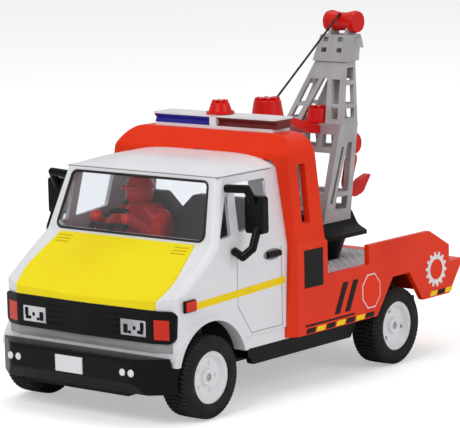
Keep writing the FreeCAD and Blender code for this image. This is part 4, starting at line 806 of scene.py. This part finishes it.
# %% Bezels and mirror glass
shape = bmesh.new()
marker_low, marker_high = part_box("side_markers")
for sign in (1, -1):
    low_x, high_x = sorted((sign * (CAB_X - 0.05), sign * (CAB_X + 0.5)))
    y0, y1 = marker_low[1] / MM, marker_high[1] / MM
    z0, z1 = marker_low[2] / MM, marker_high[2] / MM
    bar(shape, (low_x, y0 - 0.7, z0 - 0.3), (high_x, y0 - 0.02, z1 + 0.3), 0.12)
    bar(shape, (low_x, y0 - 0.02, z1 + 0.02), (high_x, y1, z1 + 0.3), 0.1)
    bar(shape, (low_x, y0 - 0.02, z0 - 0.3), (high_x, y1, z0 - 0.02), 0.1)
marker_bezels = finish_piece("marker_bezels", shape, black_abs, "truck")

GLASS_INNER_X, GLASS_OUTER_X, GLASS_LOW_Z, GLASS_HIGH_Z = 37.2, 42.2, 54.0, 62.8
shape = bmesh.new()
for sign in (1, -1):
    low_x, high_x = sorted((sign * GLASS_INNER_X, sign * GLASS_OUTER_X))
    bar(shape, (low_x, along(19.42), GLASS_LOW_Z), (high_x, along(19.5), GLASS_HIGH_Z))
mirror_glass = finish_piece("mirror_glass", shape, lamp_silver, "truck")
print("bezels and mirror glass made")

# %% [markdown]
# ## Camera
# A long lens from the front left, a little above the truck, shows the nose, the left flank and the crane.
# The rotation is built from the view direction and the camera's up.

# %% Camera
CAMERA_AT = Vector((508.966, -611.314, 171.247)) * MM
YAW, PITCH, ROLL = 0.6933089641, 0.1502072684, -0.0246674614
FOCAL = 5.589455435     # focal length as a share of the view's width
forward = Vector((-math.sin(YAW) * math.cos(PITCH), math.cos(YAW) * math.cos(PITCH), -math.sin(PITCH)))
level_right = Vector((math.cos(YAW), math.sin(YAW), 0))
level_up = level_right.cross(forward)
right = level_right * math.cos(ROLL) + level_up * math.sin(ROLL)
up = level_up * math.cos(ROLL) - level_right * math.sin(ROLL)
camera_data = bpy.data.cameras.new("product_camera")
camera_data.sensor_width = 36.0
camera_data.lens = FOCAL * camera_data.sensor_width
camera_data.clip_start = 0.01
camera_data.clip_end = 20.0
camera = bpy.data.objects.new("product_camera", camera_data)
bpy.context.scene.collection.objects.link(camera)
turn = Matrix((right, up, -forward)).transposed().to_4x4()
camera.matrix_world = Matrix.Translation(CAMERA_AT) @ turn
bpy.context.scene.camera = camera
print("lens", round(camera_data.lens, 1), "mm")

# %% [markdown]
# ## Floor, world and lamps
# A toy catalogue shows its goods on white. The floor is a pale sheet that glows a little, but only where it
# is seen directly or through glass, so it reads as white while it still takes the truck's shadow. The world
# is white in the same places, and dimmer in reflections and as a light. Three large soft lamps model the
# forms.

# %% Studio
GLOW = 0.42                 # how strongly the floor glows


def seen_directly(owner):
    """A node that is 1 where the camera looks straight at a surface or through glass, and otherwise 0."""
    path = add_node(owner, "ShaderNodeLightPath")
    seen = add_node(owner, "ShaderNodeMath", settings={"operation": "MAXIMUM"})
    for socket, ray in enumerate(("Is Camera Ray", "Is Transmission Ray")):
        owner.node_tree.links.new(path.outputs[ray], seen.inputs[socket])
    return seen


def studio_sheet(name):
    """A matt pale sheet that glows where it is seen directly or through glass."""
    material = blank_material(name)
    glow_level = add_node(material, "ShaderNodeMapRange", values={"To Max": GLOW},
                          links={"Value": (seen_directly(material), "Value")})
    matt = add_node(material, "ShaderNodeBsdfDiffuse", values={"Color": linear("#F0F0F0")})
    glow = add_node(material, "ShaderNodeEmission", values={"Color": linear("#FFFFFF")},
                    links={"Strength": (glow_level, "Result")})
    both = add_node(material, "ShaderNodeAddShader")
    material.node_tree.links.new(matt.outputs[0], both.inputs[0])
    material.node_tree.links.new(glow.outputs[0], both.inputs[1])
    return finish_surface(material, both)


FLOOR_HALF, FLOOR_DROP = 2.5, 0.0001
shape = bmesh.new()
bmesh.ops.create_grid(shape, x_segments=1, y_segments=1, size=FLOOR_HALF)
floor_mesh = bpy.data.meshes.new("studio_floor")
shape.to_mesh(floor_mesh)
shape.free()
floor_mesh.materials.append(studio_sheet("white studio sheet"))
floor = bpy.data.objects.new("studio_floor", floor_mesh)
bpy.context.scene.collection.objects.link(floor)
floor.location = (0, 0, -FLOOR_DROP)

world = bpy.data.worlds.new("studio_world")
bpy.context.scene.world = world
world.use_nodes = True
world.node_tree.nodes.clear()
WORLD_LIGHT, WORLD_SEEN = 0.5, 1.0
level = add_node(world, "ShaderNodeMapRange", values={"To Min": WORLD_LIGHT, "To Max": WORLD_SEEN},
                 links={"Value": (seen_directly(world), "Value")})
sky = add_node(world, "ShaderNodeBackground", values={"Color": linear("#FFFFFF")},
               links={"Strength": (level, "Result")})
add_node(world, "ShaderNodeOutputWorld", links={"Surface": (sky, "Background")})
LAMP_AIM = Vector((0, 0, 0.05))     # the middle of the truck


def soft_lamp(name, place, size, power):
    """A square area lamp, in metres and watts, turned towards the truck."""
    lamp = bpy.data.lights.new(name, "AREA")
    lamp.shape = "SQUARE"
    lamp.size = size
    lamp.energy = power
    holder = bpy.data.objects.new(name, lamp)
    bpy.context.scene.collection.objects.link(holder)
    direction = LAMP_AIM - Vector(place)
    holder.rotation_euler = direction.to_track_quat("-Z", "Y").to_euler()
    holder.location = place


soft_lamp("key_lamp", (0.1, -0.9, 0.9), 0.5, 4.2)
soft_lamp("side_lamp", (1.0, 0.1, 0.6), 0.6, 2.2)
soft_lamp("top_lamp", (-0.2, 0.2, 1.1), 0.7, 2.5)
bpy.context.scene.view_settings.view_transform = "Standard"
print("studio ready")
